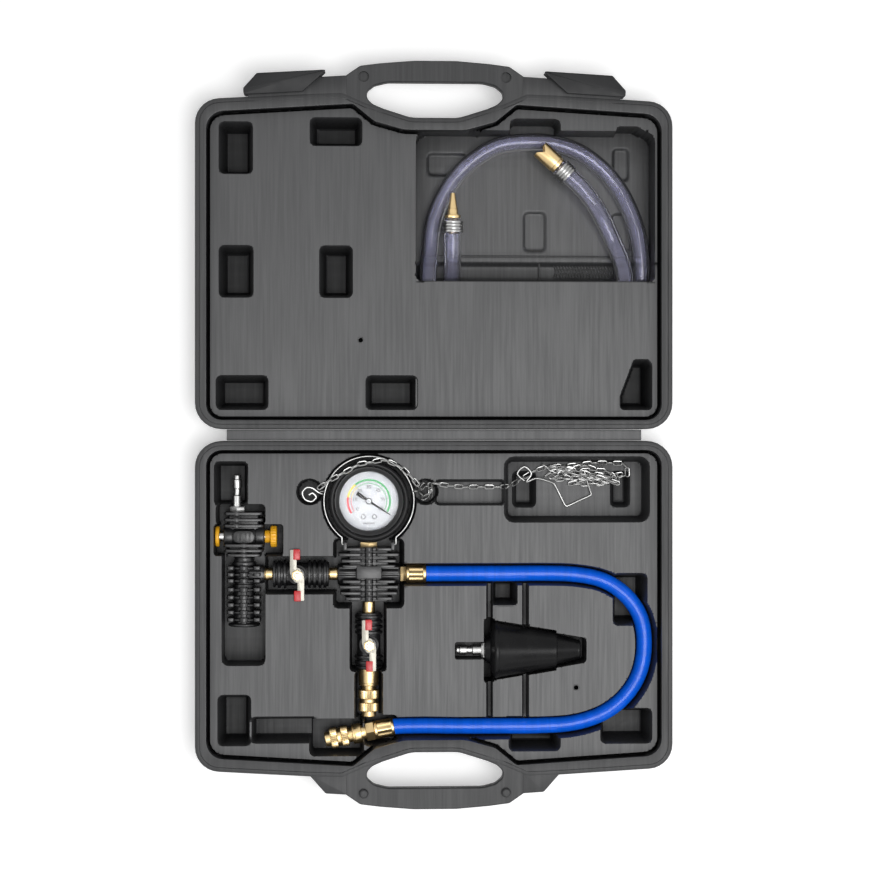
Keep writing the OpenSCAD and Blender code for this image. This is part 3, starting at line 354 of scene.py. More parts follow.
def wire_uv(obj, path):
    """A tube's UV map: U counts centimetres along the path, V stays in the middle."""
    run = reach_of(path) / 10
    layer = obj.data.uv_layers.new(name="Along")
    loops = np.zeros(len(obj.data.loops), np.int32)
    obj.data.loops.foreach_get("vertex_index", loops)
    co = mesh_points(obj)[loops]
    nearest = np.concatenate([np.argmin(((part[:, None] - path[None]) ** 2).sum(-1), 1)
                              for part in np.array_split(co, max(1, len(co) // 4000))])
    layer.data.foreach_set("uv", np.stack([run[nearest], nearest * 0.0 + 0.5], 1).astype(np.float32).ravel())


# Finishes

FINISHES = {}


def feed(tree, value, socket):
    """Links a socket to an input, or gives the input a plain value."""
    if isinstance(value, bpy.types.NodeSocket):
        tree.links.new(value, socket)
    else:
        socket.default_value = value


def shader_node(tree, kind, inputs, output=0, **options):
    """One output of a new shader node whose inputs are fed by sockets or plain values."""
    made = tree.nodes.new(f"ShaderNode{kind}")
    for name, value in options.items():
        setattr(made, name, value)
    for key, value in inputs.items():
        feed(tree, value, made.inputs[key])
    return made.outputs[output]


def math_node(tree, operation, *values):
    """A Math node's result."""
    return shader_node(tree, "Math", dict(enumerate(values)), operation=operation)


def mixed(tree, factor, a, b):
    """A plain colour mixed with a socket or with another plain colour."""
    second = b if isinstance(b, bpy.types.NodeSocket) else (*b, 1)
    return shader_node(tree, "Mix", {"Factor": factor, "A": (*a, 1), "B": second}, "Result", data_type="RGBA")


def seen_white(tree):
    """One for rays from the camera, from a mirror or through glass, nought for the rest."""
    ray = tree.nodes.new("ShaderNodeLightPath").outputs
    glossy = math_node(tree, "MAXIMUM", ray["Is Glossy Ray"], ray["Is Transmission Ray"])
    return math_node(tree, "MAXIMUM", ray["Is Camera Ray"], glossy)


def noise(tree, vector, scale, detail=3.0, rough=0.55):
    """A Noise texture's value."""
    inputs = {"Vector": vector, "Scale": scale, "Detail": detail, "Roughness": rough}
    return shader_node(tree, "TexNoise", inputs, "Fac")


def contrast(tree, value, low, high):
    """A value spread from a narrow range to 0 and 1."""
    return shader_node(tree, "MapRange", {"Value": value, "From Min": low, "From Max": high}, "Result",
                       interpolation_type="SMOOTHSTEP")


def stretched(tree, vector, factors):
    """A vector with each axis scaled, so that a pattern runs long along the small ones."""
    return shader_node(tree, "VectorMath", {0: vector, 1: factors}, operation="MULTIPLY")


def new_group(name, scale, grain):
    """A shader node group that takes a vector, a scale and a grain; gives its tree and these three sockets."""
    tree = bpy.data.node_groups.new(name, "ShaderNodeTree")
    tree.interface.new_socket("Vector", in_out="INPUT", socket_type="NodeSocketVector")
    for label, default in (("Scale", scale), ("Grain", grain)):
        tree.interface.new_socket(label, in_out="INPUT", socket_type="NodeSocketFloat").default_value = default
    return (tree, *tree.nodes.new("NodeGroupInput").outputs[:3])


def put_out(tree, **values):
    """Makes values a group's outputs."""
    for label in values:
        tree.interface.new_socket(label, in_out="OUTPUT", socket_type="NodeSocketFloat")
    end = tree.nodes.new("NodeGroupOutput")
    for label, value in values.items():
        feed(tree, value, end.inputs[label])
    return tree


def streaks_group():
    """Flow streaks of blow moulding: noise drawn out along Y, broken by broad clouds, over a fine skin."""
    tree, vector, scale, grain = new_group("Flow Streaks", 420.0, 1800.0)
    lines = noise(tree, stretched(tree, vector, (1, 0.03, 1)), scale, 4, 0.65)
    clouds = noise(tree, stretched(tree, vector, (1, 0.25, 1)), 30, 2)
    both = math_node(tree, "ADD", math_node(tree, "MULTIPLY", lines, 0.75), math_node(tree, "MULTIPLY", clouds, 0.25))
    mask = contrast(tree, both, 0.33, 0.68)
    skin = math_node(tree, "MULTIPLY", noise(tree, vector, grain, 2), 0.5)
    return put_out(tree, Mask=mask, Height=math_node(tree, "ADD", skin, math_node(tree, "MULTIPLY", mask, 0.5)))


def grain_group():
    """Grain of cast, moulded and rubber skins: clouds for the tone, pebbles for the height."""
    tree, vector, scale, grain = new_group("Skin Grain", 120.0, 2400.0)
    pebbles = shader_node(tree, "TexVoronoi", {"Vector": vector, "Scale": grain}, "Distance")
    return put_out(tree, Mask=contrast(tree, noise(tree, vector, scale, 4), 0.35, 0.7), Height=pebbles)


def handling_group():
    """Handling marks on metal: fine scratches in two directions and dull patches of tarnish."""
    tree, vector, scale, grain = new_group("Handling Marks", 90.0, 900.0)
    patches = contrast(tree, noise(tree, vector, scale, 5, 0.6), 0.42, 0.75)
    one, two = (noise(tree, stretched(tree, vector, way), grain, 2) for way in ((1, 0.06, 0.4), (0.08, 1, 0.4)))
    return put_out(tree, Mask=math_node(tree, "MULTIPLY_ADD", patches, 0.75, 0.5),
                   Height=math_node(tree, "MULTIPLY", one, two))


def rings_group():
    """Rings round a hose: a fine sine along U, in centimetres, over slow changes of tone."""
    tree, vector, scale, grain = new_group("Hose Rings", 60.0, 3.0)
    along = shader_node(tree, "SeparateXYZ", {0: vector})
    wave = math_node(tree, "SINE", math_node(tree, "MULTIPLY", along, scale))
    return put_out(tree, Mask=contrast(tree, noise(tree, vector, grain, 3), 0.3, 0.7),
                   Height=math_node(tree, "MULTIPLY_ADD", wave, 0.5, 0.5))


def finish(name, group, colours, rough, scale=None, bump=0.15, depth=0.00015, metal=0.0, uv=None, paint_shade=False,
           **sockets):
    """A material: a group's mask mixes two colours and two roughnesses, and its height makes the bump.

    One with painted shade also has its colour darkened and its specular dimmed where its mesh's attribute Open, the
    share of sky it sees, is low: shade painted into hollows, corners and walls.
    """
    made = bpy.data.materials.new(name)
    made.use_nodes = True
    tree = made.node_tree
    vector = shader_node(tree, "UVMap", {}, "UV", uv_map=uv) if uv else shader_node(tree, "TexCoord", {}, "Object")
    pattern = {"Vector": vector} if scale is None else {"Vector": vector, "Scale": scale}
    mask = shader_node(tree, "Group", pattern, "Mask", node_tree=group)
    rise = {"Strength": bump, "Distance": depth, "Height": mask.node.outputs["Height"]}
    spread = {"Value": mask, "To Min": rough[0], "To Max": rough[1]}
    skin = mixed(tree, mask, *colours)
    feeds = {label.replace("_", " "): value for label, value in sockets.items()}
    if paint_shade:
        # Painted shade: the colour falls towards a tenth and the specular dims as the share of open sky falls.
        sky = shader_node(tree, "Attribute", {}, "Fac", attribute_name="Open")
        skin = mixed(tree, sky, shade(colours[0], 0.1), skin)
        feeds["Specular IOR Level"] = math_node(tree, "MULTIPLY", sky, 0.5)
    feeds |= {"Metallic": metal, "Base Color": skin, "Roughness": shader_node(tree, "MapRange", spread, "Result"),
              "Normal": shader_node(tree, "Bump", rise, "Normal")}
    for label, value in feeds.items():
        feed(tree, value, tree.nodes["Principled BSDF"].inputs[label])
    FINISHES[name] = made


def shade(colour, factor):
    """A colour made darker or lighter."""
    return tuple(min(1.0, c * factor) for c in colour)


class KIT_OT_finishes(bpy.types.Operator):
    bl_idname = "kit.finishes"
    bl_label = "Mix Finishes"

    def execute(self, context):
        kit = settings()
        streaks, grain, marks, rings = streaks_group(), grain_group(), handling_group(), rings_group()
        case, tool, hose = kit.case, kit.tool, kit.hose
        # The case plastic carries painted shade in its hollows, drawn from the attribute Open.
        finish("case_plastic", streaks, (case.plastic, case.streak), (0.50, 0.42), bump=0.10, depth=0.0001,
               paint_shade=True)
        # Painted shade: the rim and outer skin get a darker copy of the same case plastic.
        finish("rim_plastic_painted_shade", streaks, (shade(case.plastic, 0.75), shade(case.streak, 0.75)), (0.56, 0.48), bump=0.10,
               depth=0.0001, Specular_IOR_Level=0.38)
        # Painted highlight: the hinge strip gets a lighter copy of the same case plastic.
        finish("strip_plastic", streaks, (shade(case.plastic, 1.25), shade(case.streak, 1.25)), (0.52, 0.44), bump=0.10,
               depth=0.0001)
        finish("latch_plastic", grain, (shade(case.plastic, 0.5), shade(case.plastic, 0.7)), (0.50, 0.62), bump=0.12,
               Specular_IOR_Level=0.25)
        finish("black_casting", grain, (tool.casting, shade(tool.casting, 1.9)), (0.28, 0.40), bump=0.10)
        finish("black_rubber", grain, ((0.005, 0.005, 0.0055), (0.009, 0.009, 0.0095)), (0.24, 0.36), scale=60,
               bump=0.10, Specular_IOR_Level=0.14)
        finish("brass", marks, (tool.brass, shade(tool.brass, 0.72)), (0.20, 0.38), metal=1, bump=0.05)
        finish("steel", marks, (shade(tool.steel, 0.8), shade(tool.steel, 0.6)), (0.18, 0.36), metal=1, bump=0.05)
        finish("wire_steel", marks, (shade(tool.steel, 0.6), shade(tool.steel, 0.4)), (0.2, 0.36), metal=1, bump=0.03)
        finish("lever_steel", marks, ((0.34, 0.325, 0.285), (0.25, 0.24, 0.21)), (0.36, 0.54), metal=1, bump=0.08)
        finish("red_vinyl", grain, (tool.grip, shade(tool.grip, 0.7)), (0.30, 0.45), bump=0.08)
        finish("orange_plastic", grain, (tool.knob, shade(tool.knob, 0.82)), (0.32, 0.46), bump=0.06)
        finish("dial_card", grain, ((0.58, 0.59, 0.615), (0.53, 0.54, 0.565)), (0.45, 0.55), bump=0.02)
        finish("seat_plastic", grain, ((0.80, 0.78, 0.70), (0.70, 0.68, 0.60)), (0.45, 0.6), bump=0.05)
        for ink, inks in (("black", ((0.02, 0.02, 0.022), (0.04, 0.04, 0.04))),
                          ("green", ((0.10, 0.42, 0.17), (0.14, 0.46, 0.20))),
                          ("yellow", ((0.85, 0.66, 0.12), (0.90, 0.70, 0.16))),
                          ("red", ((0.72, 0.10, 0.12), (0.78, 0.14, 0.15)))):
            finish(f"print_{ink}", grain, inks, (0.5, 0.6), bump=0.02)
        finish("lens_glass", grain, ((1, 1, 1), (0.97, 0.98, 0.99)), (0.02, 0.04), bump=0.0,
               Transmission_Weight=1.0, IOR=1.12)
        finish("blue_rubber", rings, (hose.blue, shade(hose.blue, 0.86)), (0.15, 0.24), uv="Along", scale=52,
               bump=0.06, depth=0.0001, Specular_IOR_Level=0.26)
        finish("clear_vinyl", rings, (shade(hose.tint, 1.06), hose.tint), (0.03, 0.07), uv="Along", scale=20,
               bump=0.004, depth=0.0001, Transmission_Weight=0.97, IOR=1.27)
        return {"FINISHED"}


# Stage

SENSOR = 36.0
SKY_LEVEL = 0.12
FLOOR_HALF, FLOOR_Z, FLOOR_GLOW = 6, -0.0004, 0.35
LAMPS = (("overhead", (0.35, -0.45, 2.6), (1.5, 1.5), 52), ("left_strip", (-1.5, 0.5, 1.5), (0.5, 2.2), 6),
         ("right_strip", (1.6, -0.2, 1.5), (0.5, 2.2), 6), ("front_strip", (0.2, -1.7, 1.3), (2.0, 0.5), 3))


class KIT_OT_stage(bpy.types.Operator):
    """Set the camera above the case, the soft lights and the pale floor"""

    bl_idname = "kit.stage"
    bl_label = "Set Stage"

    def execute(self, context):
        stage = settings().stage
        scene = context.scene
        camera = bpy.data.objects.new("camera", bpy.data.cameras.new("camera"))
        scene.collection.objects.link(camera)
        across, above = stage.height * math.sin(stage.lean), stage.height * math.cos(stage.lean)
        camera.location = (-across, 0, above + RIM_Z * MM)
        camera.rotation_euler = (0, -stage.lean, 0)
        camera.data.sensor_width = SENSOR
        camera.data.lens = SENSOR * stage.height / stage.span
        scene.camera = camera
        for lamp in LAMPS:
            self.lamp(*lamp)
        self.world(scene)
        self.floor(stage.floor)
        scene.view_settings.view_transform = "Standard"
        return {"FINISHED"}

    @staticmethod
    def lamp(name, where, size, power):
        """A soft rectangular lamp that faces the origin."""
        data = bpy.data.lights.new(name, "AREA")
        data.shape, data.size, data.size_y, data.energy = "RECTANGLE", size[0], size[1], power
        lamp = bpy.data.objects.new(name, data)
        bpy.context.scene.collection.objects.link(lamp)
        lamp.location = where
        lamp.rotation_euler = (-Vector(where)).to_track_quat("-Z", "Y").to_euler()

    @staticmethod
    def world(scene):
        """A dim even sky that looks white to the camera, in mirrors and through glass."""
        world = bpy.data.worlds.new("studio")
        world.use_nodes = True
        tree = world.node_tree
        back = tree.nodes["Background"]
        back.inputs["Color"].default_value = (1, 1, 1, 1)
        feed(tree, math_node(tree, "MULTIPLY_ADD", seen_white(tree), 1 - SKY_LEVEL, SKY_LEVEL), back.inputs["Strength"])
        scene.world = world

    @staticmethod
    def floor(colour):
        """A wide pale floor that keeps the object's shadow and looks white to the camera."""
        mesh = bpy.data.meshes.new("floor")
        h = FLOOR_HALF
        mesh.from_pydata([(-h, -h, 0), (h, -h, 0), (h, h, 0), (-h, h, 0)], [], [(0, 1, 2, 3)])
        floor = bpy.data.objects.new("floor", mesh)
        floor.location.z = FLOOR_Z
        bpy.context.scene.collection.objects.link(floor)
        made = bpy.data.materials.new("floor_paper")
        made.use_nodes = True
        tree = made.node_tree
        glow = math_node(tree, "MULTIPLY", seen_white(tree), FLOOR_GLOW)
        for label, value in (("Base Color", (*colour, 1)), ("Roughness", 0.9), ("Specular IOR Level", 0.0),
                             ("Emission Color", (1, 1, 1, 1)), ("Emission Strength", glow)):
            feed(tree, value, tree.nodes["Principled BSDF"].inputs[label])
        mesh.materials.append(made)


# Hoses, chain and wires

CHAIN_WIDTH, CHAIN_WIRE, CHAIN_PLAY = 4.4, 1.0, 0.4
CHAIN_ROLLS, CHAIN_SIDES = (18, 102), 7
BLUE_RUN = [(-22.6, 0), (-5, 0), (30, 0), (65, 0), (95, 0), (120, 0.008), (144, 0.046), (163.5, 0.142),
            (176.5, 0.288), (180, 0.475), (175.5, 0.662), (162.5, 0.817), (143, 0.926), (118, 0.985), (88, 1),
            (56, 1), (20, 1), (-8, 0.996), (-34, 1), (-46, 1.017)]
BLUE_ROUTE = [(x, MAIN_Y + f * (HOSE_END[1] - MAIN_Y), TOOL_Z) for x, f in BLUE_RUN]
CLEAR_ROUTE = [
    (16, 184, 24), (16, 172, 24), (16, 155, 21.5), (16, 138, 16), (16, 120, 11.5), (24, 92, 10.5),
    (42, 69, 10.5), (68, 54, 10.5), (97, 50, 10.5), (127, 55, 10.5), (152, 71, 10.5), (170, 95, 10.5),
    (178, 120, 11), (179, 145, 13.5), (176, 170, 14), (169, 192, 14), (158, 213, 14), (143, 230, 14),
    (124, 243, 14), (102, 250, 14), (80, 251, 14), (57, 248, 14), (38, 238, 14), (22, 224, 14), (9, 205, 14),
    (0, 182, 14), (-3, 157, 14), (-5, 132, 17), (-3, 105, 24), (8, 80, 26), (27, 61, 26), (52, 50, 26),
    (81, 47, 26), (110, 52, 26), (134, 65, 26), (152, 86, 26), (161, 110, 26), (163, 131, 24), (160, 150, 19),
    (153, 168, 17), (145, 184, 20.5), (136, 197.8, 25.5), (125.2, 210.6, 29.2), (115.6, 219.4, 29.8),
    (106, 228.2, 29.8)]
CHAIN_ROUTE = [
    (-98, -45, 38.5), (-90, -39, 41), (-81, -34, 43), (-72, -29, 43), (-62, -24, 43), (-54, -23, 43),
    (-45, -21, 42), (-37, -23, 40), (-29, -27, 38.5), (-22, -33, 38.5), (-16, -40, 37.5), (-12, -46, 31),
    (-9, -52, 25), (-3, -51, 22.5), (-3, -45, 23), (-9, -43, 25), (-13, -48, 27), (-8, -53, 29), (-3, -48, 32),
    (-4, -43, 36), (1, -41, 38), (7, -42, 37.5), (14, -43, 36), (24, -44, 33), (34, -44, 30.8), (46, -44, 30.8),
    (57, -44, 30.6), (64, -43, 26.5), (69, -41, 21.5), (76, -37, 18.5), (88, -30, 18.5), (102, -27, 18.5),
    (118, -26, 18.5), (136, -24, 18.5), (152, -24, 18.5), (163, -25, 18.5), (166, -32, 18.5), (156, -38, 18.5),
    (140, -36, 18.5), (122, -36, 18.5), (106, -37, 18.5), (97, -34, 19.5), (104, -31, 21), (118, -31, 21.5),
    (134, -30, 21.5), (148, -31, 21.5), (154, -36, 20.5), (146, -41, 18.5), (132, -42, 18.5), (118, -41.5, 18.5)]
HOOK_ROUTE = [
    (77, -39, 25.5), (71, -33, 25), (77, -27, 24.5), (83, -33, 24), (79, -40, 23), (88, -37, 21.5),
    (101, -40.6, 18.5), (103.3, -42.2, 18), (105, -45, 17.8), (109, -53, 17.5), (112.4, -59.7, 17.5),
    (114, -60.9, 17.5), (116, -60.3, 17.5), (125, -56, 17.5), (133.5, -52.2, 17.5), (135, -50.8, 17.7),
    (134.6, -49, 18), (132, -42, 20), (129.4, -34, 22.5), (128.6, -31, 22.5)]
S_HOOK_ROUTE = [
    (-94.9, -49.7, 33.4), (-98, -48.5, 34.5), (-103, -45, 35.5), (-108, -44.5, 36.5), (-111.5, -48.5, 37),
    (-109.5, -54, 37), (-104, -56, 37), (-100, -52.5, 37.5), (-103, -49, 38), (-106, -50.5, 38.5)]


class KIT_OT_hoses(bpy.types.Operator):
    """Sweep the blue hose and the clear hose along their routes"""

    bl_idname = "kit.hoses"
    bl_label = "Lay Hoses"

    def execute(self, context):
        hose = settings().hose
        path = smooth(BLUE_ROUTE, 4)
        stock = Stock()
        swept(stock, path, hose.blue_width / MM / 2, sides=36)
        blue = piece("blue_pressure_hose", stock, "tool", "blue_hose", "blue_rubber")
        wire_uv(blue, path)
        path = smooth(CLEAR_ROUTE, 4)
        stock = Stock()
        outer = swept(stock, path, hose.clear_width / MM / 2, sides=32, ends=False)
        inner = swept(stock, path, hose.clear_width / MM / 2 - 2, sides=32, ends=False, flip=True)
        stock.grid(np.stack([outer[0], inner[0]]))
        stock.grid(np.stack([outer[-1], inner[-1]]), flip=True)
        clear = piece("clear_filling_hose", stock, "lid", "clear_hose", "clear_vinyl",
                      closed=False)
        wire_uv(clear, path)
        return {"FINISHED"}


def chain_links(path, length, width, wire):
    """Oval links along a path, which are stadiums of round wire, rolled by two angles in turn."""
    pitch = length - 2 * wire - CHAIN_PLAY
    run = reach_of(path)
    s = (np.arange(int(run[-1] / pitch)) + 0.5) * pitch
    i = np.clip(np.searchsorted(run, s) - 1, 0, len(path) - 2)
    t = unit(path[i + 1] - path[i])
    centre = path[i] + ((s - run[i]) / (run[i + 1] - run[i]))[:, None] * (path[i + 1] - path[i])
    level = unit(np.cross(UP, t))
    rise = np.cross(t, level)
    roll = np.radians(np.resize(CHAIN_ROLLS, len(s)))[:, None]
    side = np.cos(roll) * level + np.sin(roll) * rise
    bend, half = (width - wire) / 2, (length - width) / 2
    a = np.linspace(-np.pi / 2, np.pi / 2, 6)
    out = np.concatenate([ways(a), -ways(a)])
    oval = bend * out
    oval[:, 0] += np.repeat((half, -half), len(a))
    turn = full_turn(CHAIN_SIDES)
    reach = oval[:, None] + wire / 2 * np.cos(turn)[None, :, None] * out[:, None]
    lift = np.broadcast_to(wire / 2 * np.sin(turn), reach.shape[:2])
    return (centre[:, None, None] + reach[None, ..., :1] * t[:, None, None] + reach[None, ..., 1:]
            * side[:, None, None] + lift[None, ..., None] * np.cross(t, side)[:, None, None])


class KIT_OT_hanging_gear(bpy.types.Operator):
    """Bend the bail and both hooks from wire and link the chain"""

    bl_idname = "kit.hanging_gear"
    bl_label = "Make Bail, Chain and Hooks"

    def execute(self, context):
        hose = settings().hose
        # The chain's end lies strewn in the compartment, each point a little higher than the last
        k = np.arange(10)
        heap = np.stack([127 + 32 * np.cos(2.4 * k), -33.5 + 8 * np.sin(3.7 * k), 19.0 + 0.7 * k], 1)
        path = smooth(CHAIN_ROUTE + heap.tolist(), 5)
        stock = Stock()
        for link in chain_links(path, hose.link / MM, CHAIN_WIDTH, CHAIN_WIRE):
            stock.grid(np.concatenate([link, link[:1]]))
        chain = piece("chain_of_links", stock, "bail", "chain", "wire_steel")
        for name, node, route, step, r, sides in (("s_hook", "chain_s_hook", S_HOOK_ROUTE, 0.8, 0.8, 10),
                                                  ("hanger_wire_hook", "hanger_hook", HOOK_ROUTE, 1.2, 0.85, 12)):
            stock = Stock()
            swept(stock, smooth(route, step), r, sides=sides)
            piece(name, stock, "bail", node, "wire_steel")
        self.bail()
        return {"FINISHED"}

    @staticmethod
    def bail():
        """Ring of wire round the gauge: an arc, then a leg and an inward pin at each side."""
        ring, leg = 38.0, 22.8
        lean = math.acos(leg / ring)
        low = -math.sqrt(ring ** 2 - leg ** 2)
        angle = np.linspace(-lean, math.pi + lean, 90)
        arc = ring * ways(angle)
        pivot = -92.5 - GAUGE[1]
        pin = leg - 3.8
        right = np.array([(pin, pivot), (leg - 1.2, pivot), (leg - 0.3, pivot + 0.3), (leg, pivot + 1.2),
                          (leg, low - 1.0)])
        flat = np.concatenate([right, arc, (right * (-1, 1))[::-1]])
        stock = Stock()
        swept(stock, at_height(flat + GAUGE, BAIL_Z), 0.9, sides=12)
        for side in (-1, 1):
            turn = np.linspace(0, 2 * np.pi, 20)
            eye = np.array((GAUGE[0] + side * 39.4, GAUGE[1] + 8.5, BAIL_Z)) + np.stack(
                [2.1 * np.cos(turn), 0.25 * np.cos(turn), 2.1 * np.sin(turn)], 1)
            swept(stock, eye, 0.55, sides=8, ends=False)
        piece("wire_bail", stock, "bail", "bail_wire_ring", "wire_steel")


# Case

SKY_TURNS, SKY_REACHES = 16, (1, 2, 3, 5, 8, 12, 18, 26)
FIELD_EDGE, PANEL_LAP, SNAP = 2, 1.3, 0.55
MOAT_FLOOR, MOAT_WALL, MOAT_BAND = 26.0, 1.9, 2.0
BED_FLOOR, BED_WALL, BED_BAND = 14.85, 3, 9.75
BASE_VENT, LID_VENT = (120, 214), (-62.5, 80)
POCKET_X, MOUTH_Y = (-16, 187.5), 129.5
TRAY = mirrored([(201.5, 5, 22), (201.5, 281.5, 21), (106.5, 287, 3), (78, 288, 4), (58, 279.4, 8), (20, 267.4, 30)])
PANEL = mirrored([(192, 12.7, 13), (192, 271, 15), (69, 278.6, 5), (51, 264, 10), (26, 257, 30)])
HOLE = [(40, 273.2, 0), (52.5, 278.6, 10), (57.5, 283.5, 6), (57, 289.5, 6), (51, 294.5, 8), (40, 297.3, 25)]
HANDLE = mirrored([(46, 268, 0), (75, 283, 0), (75, 302.5, 1), (63, 310.8, 6), (46, 313, 40), (18, 315.3, 60)])
HANDLE += [(-x, y, r) for x, y, r in HOLE] + HOLE[::-1]


def circle(x, y, r, count=40):
    """Outline of a circle."""
    return (x, y) + r * ways(full_turn(count))


def nearest_on(points, outline, closed=True):
    """Nearest point of an outline to each point, and whether each point is inside (even-odd rule)."""
    best, gap = np.zeros_like(points), np.full(len(points), np.inf)
    inside = np.zeros(len(points), bool)
    ends = np.roll(outline, -1, 0) if closed else outline[1:]
    for a, b in zip(outline, ends):
        run = b - a
        t = np.clip(((points - a) @ run) / max(run @ run, 1e-12), 0, 1)
        foot = a + t[:, None] * run
        away = np.hypot(*(points - foot).T)
        closer = away < gap
        best[closer], gap[closer] = foot[closer], away[closer]
        if closed and a[1] != b[1]:
            spans = (a[1] > points[:, 1]) != (b[1] > points[:, 1])
            inside ^= spans & (points[:, 0] < a[0] + (points[:, 1] - a[1]) * run[0] / run[1])
    return best, gap, inside


class Recess:
    """A hollow of a panel: an outline, the height of its floor, the width of its wall, and its top."""

    def __init__(self, outline, floor, wall, top=PANEL_Z, band=None):
        self.outline = rounded(outline) if isinstance(outline, list) else outline
        self.floor, self.wall, self.top, self.band = floor, wall, top, band
        reach = 3 + (band or 0)
        self.low, self.high = self.outline.min(0) - reach, self.outline.max(0) + reach

    def near(self, points):
        """Marks the points in the recess's own neighbourhood."""
        return ((points > self.low) & (points < self.high)).all(1)

    def distance(self, points):
        """Distance to the edge, below zero inside, and the nearest point of the edge."""
        foot, gap, inside = nearest_on(points, self.outline, self.band is None)
        if self.band is None:
            return np.where(inside, -gap, gap), foot
        away = (points - foot) / np.maximum(gap, 1e-9)[:, None]
        return gap - self.band, foot + away * self.band


def field_box():
    """Low and high corner of the panel's grid."""
    edge = rounded(PANEL, 0, 6)
    return edge.min(0) - FIELD_EDGE, edge.max(0) + FIELD_EDGE


def open_sky(z, cell):
    """Share of the sky that each grid point sees.

    In each of several directions the steepest rise to a point further on makes a horizon; a horizon of slope s
    leaves one part in (1 + s squared) of that direction open.
    """
    total = np.zeros_like(z)
    for turn in full_turn(SKY_TURNS):
        steep = np.zeros_like(z)
        for reach in SKY_REACHES:
            across, along = round(reach * math.cos(turn)), round(reach * math.sin(turn))
            rise = np.roll(z, (-along, -across), (0, 1)) - z
            steep = np.maximum(steep, rise / (math.hypot(across, along) * cell))
        total += 1 / (1 + steep ** 2)
    return total / SKY_TURNS


def store_sky(obj, sky, z, side):
    """Writes the grid's share of sky to a mesh as its attribute Open, which the case plastic turns into painted shade;
    points off the panel are fully open.
    """
    co = mesh_points(obj) * (1, side, 1)
    low, high = field_box()
    top = np.array(sky.shape[::-1]) - 1
    spot = np.rint((co[:, :2] - low) / (high - low) * top).astype(int)
    held = ((spot >= 0) & (spot <= top)).all(1)
    spot = np.clip(spot, 0, top)
    held &= (co[:, 2] < PANEL_Z + 0.6) & (co[:, 2] > z[spot[:, 1], spot[:, 0]] - 4)
    layer = obj.data.attributes.new("Open", "FLOAT", "POINT")
    layer.data.foreach_set("value", np.where(held, sky[spot[:, 1], spot[:, 0]], 1.0).astype(np.float32))


def panel_field(recesses, cell):
    """The inner panel as a height over the plane.

    Each recess lowers it from its top to its floor over the width of its wall, along a curve that starts and
    ends flat (s minus three quarters of a sine turn); the lowest recess counts. Grid points beside an edge
    are first moved onto it, so that edges stay crisp.
    """
    edge = rounded(PANEL, 0, 6)
    low, high = field_box()
    nx, ny = np.ceil((high - low) / cell).astype(int)
    x, y = np.meshgrid(np.linspace(low[0], high[0], nx), np.linspace(low[1], high[1], ny))
    points = np.stack([x.ravel(), y.ravel()], 1)
    for recess in recesses:
        near = np.flatnonzero(recess.near(points))
        gap, foot = recess.distance(points[near])
        snap = np.abs(gap) < SNAP * cell
        points[near[snap]] = foot[snap]
    z = np.full(len(points), PANEL_Z)
    for recess in recesses:
        near = np.flatnonzero(recess.near(points))
        gap = recess.distance(points[near])[0]
        s = np.clip(-gap / recess.wall, 0, 1)
        fall = s - 0.75 * np.sin(2 * np.pi * s) / (2 * np.pi)
        lower = recess.top - (recess.top - recess.floor) * fall
        z[near] = np.where(gap < -1e-4, np.minimum(z[near], lower), z[near])
    _, gap, inside = nearest_on(points, edge)
    kept = (inside | (gap < PANEL_LAP)).reshape(ny, nx)
    kept = kept[:-1, :-1] & kept[1:, :-1] & kept[:-1, 1:] & kept[1:, 1:]
    sky = open_sky(np.where(inside, z, RIM_Z).reshape(ny, nx), cell)
    return points.reshape(ny, nx, 2), z.reshape(ny, nx), kept, sky


def add_field(stock, points, z, kept):
    """Adds the kept cells of a height field."""
    nx = z.shape[1]
    r, c = np.nonzero(kept)
    quads = np.stack([r * nx + c, r * nx + c + 1, (r + 1) * nx + c + 1, (r + 1) * nx + c], 1)
    used, flat = np.unique(quads, return_inverse=True)
    stock.add(np.concatenate([points, z[..., None]], 2).reshape(-1, 3)[used], flat.reshape(-1, 4))


def filled(stock, loops, mark=0):
    """Adds a level face that fills the first loop of points but not the loops after it, facing up."""
    points = np.concatenate(loops)
    triangles = np.array(tessellate_polygon([[Vector(p) for p in loop] for loop in loops]))
    a, b, c = (points[triangles[:, i], :2] for i in range(3))
    down = (b[:, 0] - a[:, 0]) * (c[:, 1] - a[:, 1]) < (b[:, 1] - a[:, 1]) * (c[:, 0] - a[:, 0])
    triangles[down] = triangles[down][:, ::-1]
    stock.add(points, triangles, mark)


def add_tray(stock):
    """Outer skin: rings of the tray's outline from its foot over its rim, then down to the panel."""
    rows = [(-15.5, 1.4), (-14.5, 1.0), (-13, 0), (-4, 0), (-1.6, 0.6), (-0.5, 2.2), (0, 5), (0, 40.2),
            (-0.2, 41.2), (-0.7, 41.8), (-1.4, 42), (-3.6, 42), (-3.8, 41.2), (-4.15, 41.2), (-4.3, 42)]
    rings = np.stack([at_height(rounded(TRAY, g, 7), z) for g, z in rows])
    stock.grid(rings, mark=1)
    stock.disc(rings[0], 1, flip=True)
    rows = [(0.5, 42), (0.15, 41.85), (0, 41.4), (0, 36.4), (-0.1, 33), (-0.1, 25)]
    inner = np.stack([at_height(rounded(PANEL, g, 7), z) for g, z in rows])
    stock.grid(inner)
    filled(stock, [rings[-1], inner[0]], 1)


